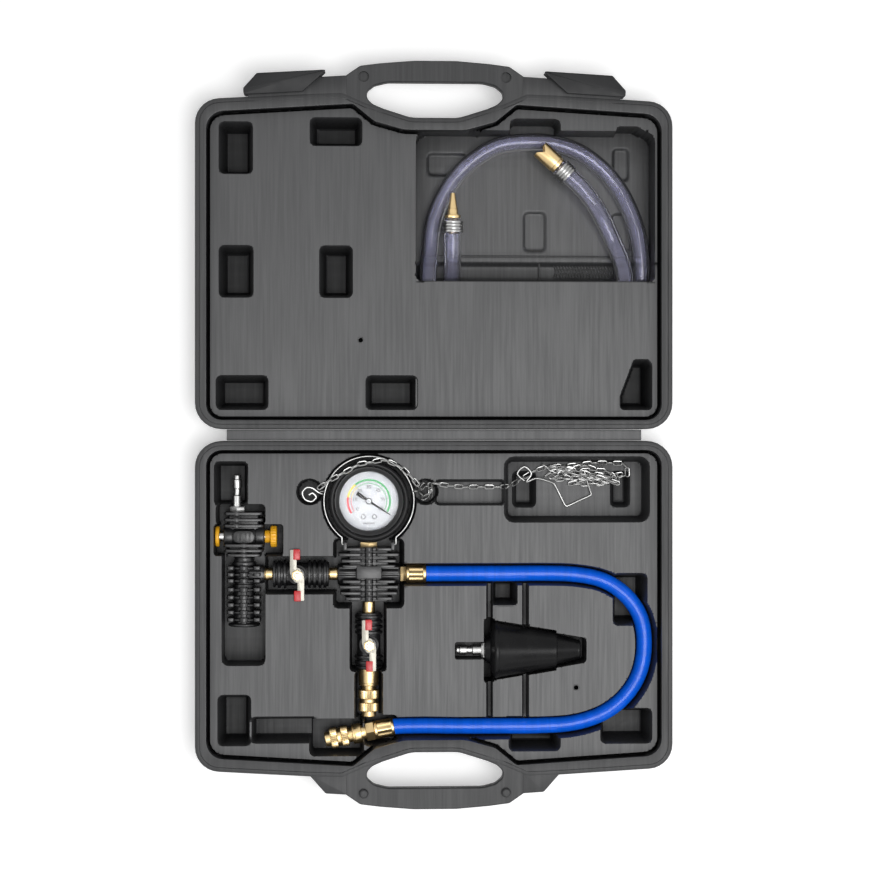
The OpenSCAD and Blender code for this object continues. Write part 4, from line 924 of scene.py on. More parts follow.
def add_front(stock, flange, edge, sockets=()):
    """Handle bow, drawn in towards its foot, its round sockets, and the flanges at both sides of it."""
    rows = [(-2.6, 24), (-1.4, 24.6), (-0.5, 29), (0, 36), (0, 40.6), (-0.3, 41.3), (-0.9, 41.7)]
    bow = np.stack([at_height(rounded(HANDLE, g, 6), z) for g, z in rows])
    stock.grid(bow, mark=1)
    stock.disc(bow[0], 1, flip=True)
    rims = [at_height(circle(x, PEG_Y, SOCKET_R, 32), bow[-1, 0, 2]) for x in sockets]
    filled(stock, [bow[-1], *rims], 1)
    for rim in rims:
        foot = rim - (0, 0, SOCKET_DEPTH)
        stock.grid(np.stack([rim, foot]), mark=1)
        stock.disc(foot, 1)
    for side in (1, -1):
        corners = [(side * x, y, r) for x, y, r in flange]
        slab(stock, corners[::side], 39, 41.7, edge, 1)


BASE_RECESSES = [
    (box(-186, -157, 22, 60, 5), 7, 4), (box(-184.5, -142.5, 58, 76, 4), 7, 0.8),
    (box(-186.3, -127.5, 75, 102, 3), 7, 0.8), (box(-179.5, -142.5, 94, 194.5, 6), 7, 1),
    (box(-144, -82, 102, 134.5, 3), 7, 2), (circle(-55.5, 56, 40.5, 96), 7, 3),
    (circle(-105.5, 48, 11.4), 19, 2), (circle(-7.5, 48, 11.4), 19, 2), (box(-86, -25.5, 87, 146.5, 5), 7, 3),
    (box(-72, -40.5, 141, 200, 4), 7, 2), (box(-68, -43.5, 199, 242, 4), 7, 3),
    (box(-106, -59.5, 239, 271, 5), 7, 2.5), (box(-60.5, -30.5, 236, 263, 5), 7, 2.5),
    (box(-29, -4, 108.25, 127.75, 3), 7, 3), (box(47.5, 72, 122, 146, 5), 4, 6),
    (box(151, 181, 117, 162, 5), 4, 6), (box(62.5, 107, 252, 268, 5), 4, 6),
    (box(140.5, 185, 231.5, 262, 5), 4, 6), (box(-183, -154.5, 218.5, 262, 5), 4, 6),
    (box(43.5, 80, 120, 246, 4), 32, 2), (box(44.2, 49.6, 121, 245, 1.5), 24, 1.2, 32),
    (box(74.4, 80, 121, 245, 1.5), 24, 1.2, 32), (box(58.5, 183, 18, 74.3, 9), 16, 5),
    (box(67, 88, 30.6, 62.3, 5), 4, 5, 16), (box(151.3, 169, 30.6, 62.3, 5), 4, 5, 16),
    (box(0, 60, 37.3, 59.7, 4), 28, 2), (box(17, 43, 175, 190, 2), 21.6, 0.5),
    (box(41.5, 51.5, 155.05, 209.95, 3), 4, 1),
    ([(51, 157.05, 0.2), (103.5, 165.5, 0.2), (103.5, 199.5, 0.2), (51, 207.95, 0.2)], 4, 1),
    ([(102.5, 167.5, 0.2), (129, 172, 4), (129, 193, 4), (102.5, 197.5, 0.2)], 12, 1),
    (box(-156, -99, 237, 260, 5), 12, 5), (circle(*BASE_VENT, 2.4, 20), 26, 0.5)]
LID_RECESSES = [
    (box(-182, -153, 219.5, 264, 5), 4, 6), (box(-105.5, -61, 243.5, 268, 5), 4, 6),
    (box(-182, -152.5, 115.5, 160, 5), 4, 6), (box(-97.5, -69, 115.5, 160, 5), 4, 6),
    (box(-184.5, -140, 21, 50.5, 5), 4, 6), (box(-58.5, -14, 21, 50.5, 5), 4, 6),
    ([(157, 21, 4), (185, 21, 4), (185, 60, 4), (181, 64.5, 2), (169, 64.5, 3), (157, 33, 6)], 4, 6),
    (box(*POCKET_X, MOUTH_Y, 258, 10), 6, 0.9), (box(*POCKET_X, MOUTH_Y, 150, 6), 2.6, 6, 6),
    (box(63.5, 107, 250, 268, 6), 6, 2),
    ([(154, 250, 2), (181, 250, 2), (181, 257, 3), (172, 262, 4), (154, 262, 4)], 6, 1.5),
    (box(-6, 30, 222, 243, 5), 4, 3, 6), (box(77, 98, 157, 193, 5), 4, 3, 6),
    (box(153, 172, 157, 192, 5), 4, 3, 6), (box(154, 170, 218, 248, 5), 4, 3, 6),
    (circle(*LID_VENT, 2.4, 20), 26, 0.5)]
PEG_X, PEG_Y = (-60, 60), 301.5
SOCKET_R, SOCKET_DEPTH = 4.5, 4.1
TAB = [(74, 284, 0.5), (106.5, 285, 0.5), (92, 301.4, 3), (74, 302.5, 0.5)]
RAIL = [(74, 282, 0.5), (157, 280, 0.5), (157, 290, 1), (150, 297, 3), (92, 301.4, 3), (74, 302.5, 0.5)]


class KIT_OT_case(bpy.types.Operator):
    """Mould both halves of the case, with the hinge strip and the two latches"""

    bl_idname = "kit.case"
    bl_label = "Mould Case"

    def execute(self, context):
        case = settings().case
        edge, cell = case.edge / MM, case.cell / MM
        base = Stock()
        add_tray(base)
        add_front(base, TAB, edge)
        flat = np.array(smooth(BLUE_ROUTE, 6))[:, :2] * (1, -1)
        loop = rounded(PANEL, -1.0, 6)
        moat = Recess(np.concatenate([loop, loop[:1]]), MOAT_FLOOR, MOAT_WALL, band=MOAT_BAND)
        bed = Recess(flat, BED_FLOOR, BED_WALL, band=BED_BAND)
        hollows = [Recess(*row) for row in BASE_RECESSES] + [bed, moat]
        points, z, kept, sky = panel_field(hollows, cell)
        add_field(base, points, z, kept)
        self.vent(base, *BASE_VENT)
        for x in PEG_X:
            turned(base, [(40, 4), (43.8, 4), (45, 2.8), (45, 0)], (x, PEG_Y, 0), UP, 24, 1)
        base.mirror()
        made = piece("base_half", base, "base", "base_shell", ["case_plastic", "rim_plastic_painted_shade"], closed=False)
        # The base panel's share of sky becomes painted shade in its colour.
        store_sky(made, sky, z, -1)
        lid = Stock()
        add_tray(lid)
        add_front(lid, RAIL, edge, PEG_X)
        points, z, kept, sky = panel_field([Recess(*row) for row in LID_RECESSES] + [moat], cell)
        self.open_mouth(lid, points, z, kept)
        self.floor_ribs(lid)
        self.vent(lid, *LID_VENT)
        made = piece("lid_half", lid, "lid", "lid_shell", ["case_plastic", "rim_plastic_painted_shade"], closed=False)
        # The lid panel's share of sky becomes painted shade in its colour.
        store_sky(made, sky, z, 1)
        self.hinge()
        self.latches(edge)
        return {"FINISHED"}

    @staticmethod
    def open_mouth(stock, points, z, kept):
        """Takes away the wall under the pocket's lip and adds the lip's edge and the pocket behind it."""
        x0, x1 = POCKET_X
        step, mouth = 157.0, MOUTH_Y
        near, far, low, high = 20.0, 66.0, 2.4, 34.0
        x, y = points[..., 0], points[..., 1]
        cells = np.stack([y[:-1, :-1], y[1:, :-1], y[:-1, 1:], y[1:, 1:]])
        across = (cells.min(0) < mouth + 0.02) & (cells.max(0) > mouth + 0.02)
        kept &= ~(across & (x[:-1, :-1] > x0) & (x[:-1, :-1] < x1 - 0.3))
        add_field(stock, points, z, kept)
        for start, end, back in ((x0, step, near), (step, x1, far)):
            rows = np.array([(mouth, PANEL_Z), (mouth + 0.8, 35.5), (mouth + 0.8, 34.5), (mouth, high),
                             (back + 1, high), (back, high - 1), (back, low + 1), (back + 1, low), (mouth + 2, low)])
            columns = np.linspace(start, end, 30)
            grid = np.stack([np.broadcast_to(columns, (len(rows), 30)), np.repeat(rows[:, :1], 30, 1),
                             np.repeat(rows[:, 1:], 30, 1)], 2)
            stock.grid(grid, wrap=False)
        for at, back, front, flip in ((x0, near, mouth + 1.5, False), (step, near, far, True),
                                      (x1, far, mouth + 1.5, True)):
            stock.add([(at, back, low), (at, front, low), (at, front, high), (at, back, high)],
                      [(3, 2, 1, 0) if flip else (0, 1, 2, 3)])

    @staticmethod
    def floor_ribs(stock):
        """Low ribs on the pocket's floor: a long ridge, a cross rib and a patch of hatching."""
        slab(stock, box(-8, 180, 152.6, 154.6, 0.8), 5.5, 7.0, 0.5)
        slab(stock, box(90.8, 92.4, 132, 148, 0.7), 2.5, 5.4, 0.5)
        wide, lean = 0.8, 3.5
        for x in np.arange(104, 154, 2.6):
            for low, high, top in ((x, x + lean, 4.3), (x + lean, x, 4.25)):
                slab(stock, [(low, 135.5, 0.2), (low + wide, 135.5, 0.2), (high + wide, 146, 0.2), (high, 146, 0.2)],
                     2.5, top, 0.2, steps=1)

    @staticmethod
    def vent(stock, x, y):
        """Rolled rim of a vent hole."""
        turned(stock, [(35.3, 3), (36.06, 2.9), (36.14, 2.4), (36.05, 1.9), (35.4, 1.7), (30, 1.65)], (x, y, 0),
               UP, 24, ease=0.1)

    @staticmethod
    def hinge():
        """Thin strip between two bend beads: one cross section drawn along X."""
        bead_y, bead_z, bead_r = 3.9, 38.2, 1.03
        a = np.linspace(math.radians(48), math.radians(312), 12)
        bead = (bead_y, bead_z) + bead_r * ways(a)
        section = np.concatenate([bead, (bead * (-1, 1))[::-1]])
        x = np.array([-175, -174.6, -120, -60, 0, 60, 120, 174.6, 175])
        shrink = np.array([0.9, 1, 1, 1, 1, 1, 1, 1, 0.9])
        grid = np.stack([np.broadcast_to(x[:, None], (len(x), len(section))),
                         section[None, :, 0] * shrink[:, None],
                         bead_z + (section[None, :, 1] - bead_z) * shrink[:, None]], 2)
        stock = Stock()
        stock.grid(grid)
        stock.disc(grid[0])
        stock.disc(grid[-1], flip=True)
        # The strip's finish is the case plastic painted lighter, a painted highlight.
        piece("living_hinge", stock, "hinge", "hinge_strip", "strip_plastic")

    @staticmethod
    def latches(edge):
        """Two jaws and the web between them, drawn for the right side and mirrored for the left."""
        outline = [(2.5, 0, 1), (52, 0, 2), (52, 5.6, 2.4), (40, 17.4, 2), (-17.7, 17.4, 1), (-17.3, 16, 0.6)]
        web = [(-14.9, 14.6, 0.5), (42.9, 14.6, 0.5), (40, 17.4, 2), (-17.9, 17.4, 1)]
        turn = -math.atan2(5.5, 95)
        for name, side in (("right", 1), ("left", -1)):
            def place(grid, side=side):
                """Leans a latch along the case's front and puts it at its side."""
                return spun(grid, turn, (108.6, 287.7)) * (side, 1, 1)
            stock = Stock()
            slab(stock, outline, 36, 38.7, edge, move=place)
            slab(stock, outline, 45.5, 48.2, edge * 1.5, move=place, steps=6)
            slab(stock, web, 36.3, 47.9, edge / 2, move=place)
            piece(f"{name}_slide_latch", stock, f"latch_{name}", f"latch_{name}", "latch_plastic")


# Filler tool


def bar(stock, origin, along, corners, start, end, edge=0.4, steps=3):
    """A rounded cross section drawn along an axis from one distance to another."""
    slab(stock, corners, start, end, edge, 0, steps, lambda grid: placed(grid, origin, along))


def rect(half_x, half_y, r, x=0.0, y=0.0):
    """Corners of a rounded rectangle about a point."""
    return box(x - half_x, x + half_x, y - half_y, y + half_y, r)


def thread(start, end, r, pitch=1.0, depth=0.35):
    """Profile rows of a thread's crests and roots."""
    count = max(2, int((end - start) / pitch * 2))
    z = np.linspace(start, end, count + 1)
    return [(a, r - depth * (i % 2)) for i, a in enumerate(z)]


def plain(start, end, r):
    """Profile rows of a plain solid disc or rod."""
    return [(start, 0), (start, r), (end, r), (end, 0)]


def air_plug(stock, origin, along, hexagon, hex_l, body_l, foot):
    """Male air plug: thread, hexagon, collar, neck, head and nose, with an open end."""
    neck, head, nose, end = (hex_l + body_l * f for f in (0.36, 0.58, 0.85, 1))
    rows = thread(-foot, -0.2, 4.75) + [(0, 4.6), (0, hexagon / 2, 6), (hex_l, hexagon / 2, 6), (hex_l, 4.4),
                                        (neck - 0.6, 4.4), (neck, 3.1), (head - 0.3, 3.1), (head, 4), (nose, 4),
                                        (nose + 0.4, 3.2), (end - 0.5, 3.2), (end, 2.8), (end, 2.2), (end - 8, 2.2),
                                        (end - 8, 0)]
    turned(stock, rows, origin, along)


def nipple(name, origin, along, length, node):
    """Brass pipe nipple with a thread at each end and a plain middle."""
    rows = [(-7, 3)] + thread(-7, 0.6, 5.25) + [(0.8, 5.2), (length - 0.8, 5.2)]
    rows += thread(length - 0.6, length + 7, 5.25) + [(length + 7, 3), (-7, 3)]
    lathe(name, "tool", node, "brass", rows, origin, along, False)


class KIT_OT_vacuum_side(bpy.types.Operator):
    """Build the venturi with its air plug, muffler and sliding spool"""

    bl_idname = "kit.vacuum_side"
    bl_label = "Build Venturi"

    def execute(self, context):
        stock = Stock()
        air_plug(stock, (PLUG_X, VENTURI_Y, TOOL_Z), BACK, 12, 4.5, 26.5, 7.5)
        piece("air_line_plug", stock, "tool", "inlet_plug", "steel")
        self.venturi()
        self.muffler()
        lathe("push_knob", "spool", "spool_knob", "orange_plastic",
              [(0, 0), (0, 5.5), (4.2, 5.3), (4.6, 8.2), (5.2, 8.9, 24, 0.02), (9.4, 8.9, 24, 0.02), (10.1, 8.2),
               (9.8, 6.5), (9.6, 0)], (-143.45, SPOOL_Y, TOOL_Z), RIGHT, sides=96)
        lathe("pull_cap", "spool", "spool_cap", "orange_plastic",
              [(0, 0), (0, 7.9), (0.7, 8.7), (2.8, 8.7), (3.4, 8.1), (3.4, 0)], (-185.35, SPOOL_Y, TOOL_Z), RIGHT)
        return {"FINISHED"}

    @staticmethod
    def venturi():
        """Finned block: split fins with a ridge under each port, the spool's tube and the neck."""
        stock = Stock()
        middle = (MUFFLER_X, VENTURI_Y, TOOL_Z)
        bar(stock, middle, FRONT, rect(13, 6.5, 2), 0, 38)
        for s, half, ridge in ((0.1, 16.2, -6), (5.4, 16.8, -6), (10.4, 17, -6), (27, 16.8, 0), (31.4, 16.4, 0),
                               (35.2, 14.5, 0)):
            bar(stock, middle, FRONT, rect(half, 14, 3), s, s + 2.4, 0.45)
            turned(stock, plain(s - 0.5, s + 2.9, 4.2),
                   (MUFFLER_X + ridge, VENTURI_Y, TOOL_Z + 9.9), FRONT, sides=24)
        turned(stock, [(0, 4), (0, 8.6), (0.8, 9.5), (7.2, 9.5), (7.6, 8.9), (8.2, 8.9), (8.6, 9.5), (25.9, 9.5),
                       (26.3, 8.9), (26.9, 8.9), (27.3, 9.5), (33.7, 9.5), (34.5, 8.6), (34.5, 4)],
               (-178.25, SPOOL_Y, TOOL_Z), RIGHT)
        bar(stock, (MUFFLER_X, SPOOL_Y, 0), UP, rect(9, 5.2, 4.5), 28, 33.4, 0.8, steps=6)
        for x in (-5, -1.7, 1.7, 5):
            bar(stock, (MUFFLER_X + x, SPOOL_Y, 0), UP, rect(0.7, 3.6, 0.6), 33, 34, 0.3)
        turned(stock, [(34, 0), (34, 9.4), (38, 10), (39, 8.4), (42, 8.4), (42.6, 10.2), (45.2, 10.2), (46, 8.6),
                       (61, 8.6), (61, 0)], middle, FRONT)
        for v in (112.3, 117.8, 123):
            KIT_OT_vacuum_side.rib(stock, v)
        turned(stock, [(0, 0), (0, 8), (15.6, 8), (16.2, 7.4), (17.25, 7.4), (17.25, 5.4)],
               (MUFFLER_X, MAIN_Y, TOOL_Z), RIGHT)
        bar(stock, (MUFFLER_X, MAIN_Y, TOOL_Z), RIGHT, rect(3.2, 2, 1, 0, 7), 4, 16.8)
        piece("venturi_casting", stock, "tool", "venturi_body", "black_casting")

    @staticmethod
    def rib(stock, v):
        """One rib of the muffler: a round plate with a block at each side and a collar on the middle tube."""
        origin = (MUFFLER_X, -v, TOOL_Z)
        turned(stock, plain(-0.5, 0.9, 12.6), origin, FRONT, sides=40)
        for side in (-1, 1):
            bar(stock, origin, FRONT, rect(3.1, 8.5, 1.6, side * 11.1, 2.4), -1.55, 1.55)
        turned(stock, [(-1.9, 0), (-1.9, 4.1), (-1.5, 4.6), (1.5, 4.6), (1.9, 4.1), (1.9, 0)],
               (MUFFLER_X, -v, TOOL_Z + 9.2), FRONT, sides=28)

    @staticmethod
    def muffler():
        """Ribbed silencer with a holed end."""
        stock = Stock()
        turned(stock, [(-4, 0), (-4, 4.9), (0.4, 4.9), (0.4, 9), (33, 9), (33.4, 12.8), (34.2, 13.6), (35, 13.6),
                       (36, 12.4), (36, 3.2), (33.5, 3), (33.5, 0)], (MUFFLER_X, MUFFLER_Y, TOOL_Z), FRONT)
        bar(stock, (MUFFLER_X, MUFFLER_Y, TOOL_Z), FRONT, rect(2.6, 3, 1.2, 0, 8.6), 2, 34.6)
        for v in (130.5, 137, 143.4, 149.7, 155.9):
            KIT_OT_vacuum_side.rib(stock, v)
        piece("ribbed_silencer", stock, "tool", "muffler", "black_casting")


class KIT_OT_valves(bpy.types.Operator):
    """Build both ball valves with their butterfly levers, and the brass nipples between the bodies"""

    bl_idname = "kit.valves"
    bl_label = "Build Valves"

    def execute(self, context):
        at = {"valve1": (*VALVE_1, TOOL_Z), "valve2": (*VALVE_2, TOOL_Z)}
        for name, along in (("valve1", RIGHT), ("valve2", BACK)):
            self.valve(name, at[name], along)
        for name, origin in at.items():
            self.handle(name, origin)
        nipple("venturi_pipe_nipple", (-143.75, MAIN_Y, TOOL_Z), RIGHT, 6.95, "venturi_nipple")
        nipple("manifold_pipe_nipple", (-89.3, MAIN_Y, TOOL_Z), RIGHT, 7.3, "manifold_nipple")
        nipple("outlet_pipe_nipple", (GAUGE[0], -141, TOOL_Z), FRONT, 9.8, "outlet_nipple")
        return {"FINISHED"}

    @staticmethod
    def valve(name, origin, along):
        """Ribbed body and screwed end, with a parting line and an upright boss for the stem."""
        stock = Stock()
        rows = [(-12, 0), (-12, 10), (-11.6, 12), (-9.6, 12), (-9.2, 9.8), (8.8, 9.8)]
        for x in (9, 13.4, 17.8, 22.2):
            rows += [(x, 11.8), (x + 2.2, 11.8), (x + 2.5, 9.6), (x + 4.1, 9.6)]
        rows = rows[:-2] + [(24.8, 10.6), (26.2, 10.6), (26.7, 10), (26.7, 5.4)]
        turned(stock, rows, origin, along)
        turned(stock, [(7.6, 3.2), (7.6, 7.4), (4.4, 7.8), (4.4, 8.6), (10.6, 8.2), (11, 6.5), (12.6, 6.2),
                       (12.6, 3.2), (7.6, 3.2)], origin, UP)
        for side in (-1, 1):
            for y in (10.5, -9.3):
                bar(stock, origin, along, rect(0.35, 1.3, 0.3, side * 0.9, y), -11, 26)
        piece(f"{name}_casting", stock, "tool", f"{name}_body", "black_casting")
        rows = [(-20.8, 5.4), (-20.8, 10), (-20.4, 11.4), (-18.6, 11.4), (-18.2, 9.6), (-17, 9.6), (-16.6, 11.8),
                (-14.2, 11.8), (-13.8, 9.8), (-12.1, 9.8), (-12.1, 8), (-9.2, 8), (-9.2, 4.2)]
        lathe(f"{name}_screwed_end", "tool", f"{name}_end", "black_casting", rows, origin, along)

    @staticmethod
    def handle(name, origin):
        """Butterfly lever of plate with a vinyl grip along each arm, its stem and its nut."""
        body = f"{name}_handle"
        arm = [(-6.3, -5.2, 1.5), (2, -5.2, 2), (5, 0.3, 0.6), (21.5, 0.3, 0.8), (21.5, 6, 0.8), (1.5, 6, 3),
               (-6.3, 2, 3)]
        grip = [(13, -2.6, 0.8), (22, -2.6, 1.2), (22, 3.2, 0.8), (13, 3.2, 0.6)]
        plate, vinyl = Stock(), Stock()
        thick, quarter = 1.58, math.pi / 2
        for turn, low in ((quarter, 15.62), (-quarter, 15.6)):
            def lay(grid, turn=turn):
                """Turns an arm's own X along Y, to one end or the other, and puts it on the stem."""
                return spun(grid, turn, origin[:2]) + (0, 0, TOOL_Z)
            slab(plate, arm, low, low + thick, 0.25, 0, 3, lay)
            slab(vinyl, grip, 14.7, 18.1, 0.7, 0, 3, lay)
        piece(f"{name}_butterfly", plate, body, f"{name}_lever", "lever_steel")
        piece(f"{name}_vinyl_grips", vinyl, body, f"{name}_grips", "red_vinyl")
        lathe(f"{name}_lock_nut", body, f"{name}_nut", "brass",
              [(17.2, 2.3), (17.2, 4, 6), (20.2, 4, 6), (20.4, 3.7), (20.4, 2.3)], origin, UP, slot="steel")
        rows = [(5.4, 0), (5.4, 3), (15.6, 3), (15.6, 2.35)] + thread(15.7, 20.9, 2.3, 0.8, 0.2)
        lathe(f"{name}_stem_bolt", body, f"{name}_stem", "wire_steel", rows + [(21.2, 1.8), (21.2, 0)], origin, UP,
              slot="steel", sides=28)


class KIT_OT_manifold(bpy.types.Operator):
    """Build the finned manifold between the gauge, the valves and the hose"""

    bl_idname = "kit.manifold"
    bl_label = "Build Manifold"

    def execute(self, context):
        stock = Stock()
        origin = (GAUGE[0], MANIFOLD_Y, TOOL_Z)
        bar(stock, origin, FRONT, rect(17, 7, 2), 0, 46)
        fins = ((0.3, 20.5), (4.9, 25.8), (10.2, 23.5), (14.8, 22.5), (27.6, 22.5), (32.2, 25.4), (37.5, 24.4),
                (42, 20))
        for s, half in fins:
            for side in (-1, 1):
                centre = side * (6.2 + half) / 2
                bar(stock, origin, FRONT, rect((half - 6.2) / 2, 13.6, 1.6, centre), s, s + 2.5, 0.45)
            bar(stock, origin, FRONT, rect(7, 10.5, 1), s + 0.4, s + 2.1)
            turned(stock, plain(s - 0.4, s + 3, 3.6),
                   (GAUGE[0], MANIFOLD_Y, TOOL_Z + 9.6), FRONT, sides=24)
        bar(stock, origin, FRONT, rect(3.2, 4, 1.2, 0, 7), 0, 46)
        bar(stock, (GAUGE[0], MAIN_Y + 2, TOOL_Z), UP, rect(10.5, 5.3, 0.8), 4, 14.4, 0.5)
        for way in (RIGHT, LEFT):
            turned(stock, [(9, 0), (9, 9), (25.6, 9), (26.5, 8.2), (26.5, 5.4)], (GAUGE[0], MAIN_Y, TOOL_Z), way)
            for y in (-3.6, 0, 3.6):
                bar(stock, (GAUGE[0], MAIN_Y + 2 - y, TOOL_Z), way, rect(1.1, 5, 0.8, 0, 7.4), 11, 25.2)
        for side in (-1, 1):
            bar(stock, (GAUGE[0] + side * 20.1, -93.9, BAIL_Z), RIGHT, rect(4, 3.2, 1.4), -1.45, 1.45)
        piece("finned_manifold", stock, "tool", "manifold_block", "black_casting")
        return {"FINISHED"}


# Gauge, fittings, cone and nozzles

PRINT_Z = 27.9
DIAL_START, DIAL_END = 215, -33
DIAL_AT = (*GAUGE, 0)


def dial_ring(stock, r0, r1, start, end, mark, step=3.0, hub=GAUGE):
    """Flat arc on the dial between two radii and two angles in degrees."""
    a = np.radians(np.linspace(start, end, max(2, int(abs(end - start) / step))))
    rows = np.stack([at_height(hub + r * ways(a), PRINT_Z) for r in (r0, r1)])
    stock.grid(rows, wrap=False, mark=mark, flip=end > start)


def dial_words(stock, words, size, at, mark):
    """Flat letters on the dial, taken from a text curve as a mesh."""
    curve = bpy.data.curves.new("figures", "FONT")
    curve.body, curve.size, curve.align_x, curve.align_y = words, size, "CENTER", "CENTER"
    holder = bpy.data.objects.new("figures", curve)
    bpy.context.scene.collection.objects.link(holder)
    bpy.context.view_layer.update()
    mesh = bpy.data.meshes.new_from_object(holder.evaluated_get(bpy.context.evaluated_depsgraph_get()))
    co = np.zeros(len(mesh.vertices) * 3)
    mesh.vertices.foreach_get("co", co)
    flat = co.reshape(-1, 3) + (GAUGE[0] + at[0], GAUGE[1] + at[1], PRINT_Z + 0.02)
    stock.add(flat, [tuple(p.vertices) for p in mesh.polygons], mark)
    bpy.data.objects.remove(holder)
    bpy.data.curves.remove(curve)
    bpy.data.meshes.remove(mesh)


class KIT_OT_gauge(bpy.types.Operator):
    """Build the vacuum gauge: boot, bezel, printed dial, pointer and lens"""

    bl_idname = "kit.gauge"
    bl_label = "Build Gauge"

    def execute(self, context):
        lathe("rubber_boot", "tool", "gauge_boot", "black_rubber",
              [(8, 0), (8, 32.6), (9.4, 34.4), (12, 34.5), (35.6, 34.5), (38.4, 33.9), (39.7, 32.6), (40, 31.2),
               (39.4, 29.7), (37.6, 28.7), (36, 28.7), (36, 30)], DIAL_AT, UP, False, sides=96, ease=0.8)
        lathe("gauge_bezel", "tool", "gauge_case", "black_casting",
              [(10, 0), (10, 31), (36.4, 31), (37, 30.4), (37.2, 28.6), (36.6, 27.6), (35.2, 26.2), (34.8, 25.4),
               (33, 24.9), (27.6, 24.9)], DIAL_AT, UP, False, "steel", sides=96)
        self.dial()
        lathe("lens_disc", "tool", "gauge_lens", "lens_glass",
              plain(33.2, 34.4, 25.1), DIAL_AT, UP, slot="lens", sides=96, ease=0.2)
        self.pointer()
        lathe("gauge_hex_stem", "tool", "gauge_stem", "brass",
              thread(-7, 0, 5.2) + [(0, 7, 6), (4, 7, 6), (4, 5), (15.4, 5), (15.4, 0)],
              (GAUGE[0], MANIFOLD_Y, TOOL_Z), BACK)
        return {"FINISHED"}

    @staticmethod
    def dial():
        """Pale card with three pairs of arcs, ticks, plain figures and two small rings."""
        stock = Stock()
        turned(stock, plain(27, 27.8, 24.85), DIAL_AT, UP, 96, ease=0.1)
        for start, end, mark in ((DIAL_START, 170, 3), (170, 130, 2), (130, -30, 1)):
            dial_ring(stock, 16.9, 18.6, start, end, mark)
            dial_ring(stock, 14.6, 15.1, start, end, mark)
        for i, angle in enumerate(np.linspace(DIAL_START, DIAL_END, 31)):
            dial_ring(stock, 15.1, 17.0 if i % 5 == 0 else 16.0, angle, angle - 0.9, 4, step=0.4)
        for words, angle in (("0", DIAL_START), ("10", 174), ("20", 132), ("30", 91), ("40", 50), ("50", 8),
                             ("60", DIAL_END)):
            dial_words(stock, words, 4.2, 11.8 * ways(math.radians(angle)), 4)
        for side in (-1, 1):
            dial_ring(stock, 1.5, 2.0, 0, 360, 4, step=14.3, hub=np.array(GAUGE) + (side * 4.7, -13.2))
        dial_words(stock, "vacuum", 3.2, (0, -18.5), 4)
        piece("printed_dial", stock, "tool", "gauge_dial",
              ["dial_card", "print_green", "print_yellow", "print_red", "print_black"], closed=False)

    @staticmethod
    def pointer():
        """Slim tapered needle with a broad tail and a pale hub."""
        needle = [(-12, -1.8, 0.3), (-1, -1.1, 0.2), (21.2, -0.4, 0.1), (21.2, 0.4, 0.1), (-1, 1.1, 0.2),
                  (-12, 1.8, 0.3)]
        stock = Stock()
        slab(stock, needle, 28.8, 29.4, 0.12, 0, 2, lambda grid: spun(grid, math.radians(DIAL_END), GAUGE))
        turned(stock, [(28.4, 0), (28.4, 2.8), (29.8, 2.8), (30, 2.5), (30, 2.1)], DIAL_AT, UP, 32)
        turned(stock, [(29.9, 2.2), (30.2, 1.9), (30.2, 0.7), (30.4, 0.5), (30.4, 0)], DIAL_AT, UP, 32, 1)
        turned(stock, plain(14, 28.6, 1), DIAL_AT, UP, 20)
        piece("gauge_needle", stock, "pointer", "gauge_pointer", ["print_black", "dial_card"])


def crimp(name, node, origin, along):
    """Crimped ferrule: eight long flutes pressed between two plain rims."""
    rows = [(0, 5), (0, 7.3), (0.8, 7.9), (2.2, 7.9), (2.8, 7.5, 8, 0.05), (14.2, 7.5, 8, 0.05), (14.8, 7.9),
            (16.6, 7.9), (17.3, 7.3), (17.3, 6.8), (12, 6.8)]
    lathe(name, "tool", node, "brass", rows, origin, along, False, sides=96)


def coupler(stock, origin, along, start, plain, end):
    """Body of a quick coupler: plain shank, neck under the sleeve, and the rolled socket."""
    turned(stock, [(start, 4), (start, 8.1), (start + 0.6, 8.5), (plain - 2.4, 8.5), (plain - 2, 8.1),
                   (plain - 1.2, 8.1), (plain - 0.8, 8.5), (plain - 0.4, 8.5), (plain, 8), (plain, 6.2),
                   (end - 0.5, 6.2), (end, 5.8), (end, 4.9), (end - 1, 4.1), (end - 18, 4.1), (end - 18, 0)],
           origin, along, sides=64)


def sleeve(name, body, node, origin, along, start, end):
    """Sliding sleeve with two straight-knurled rings and a groove between them."""
    mid = (start + end) / 2
    k = (40, 0.022)
    rows = [(start, 6.3), (start, 8), (start + 0.6, 8.55, *k), (mid - 1.9, 8.55, *k), (mid - 1.4, 7.6),
            (mid + 1.4, 7.6), (mid + 1.9, 8.55, *k), (end - 0.6, 8.55, *k), (end, 8), (end, 6.3), (start, 6.3)]
    lathe(name, body, node, "brass", rows, origin, along, False, sides=160)


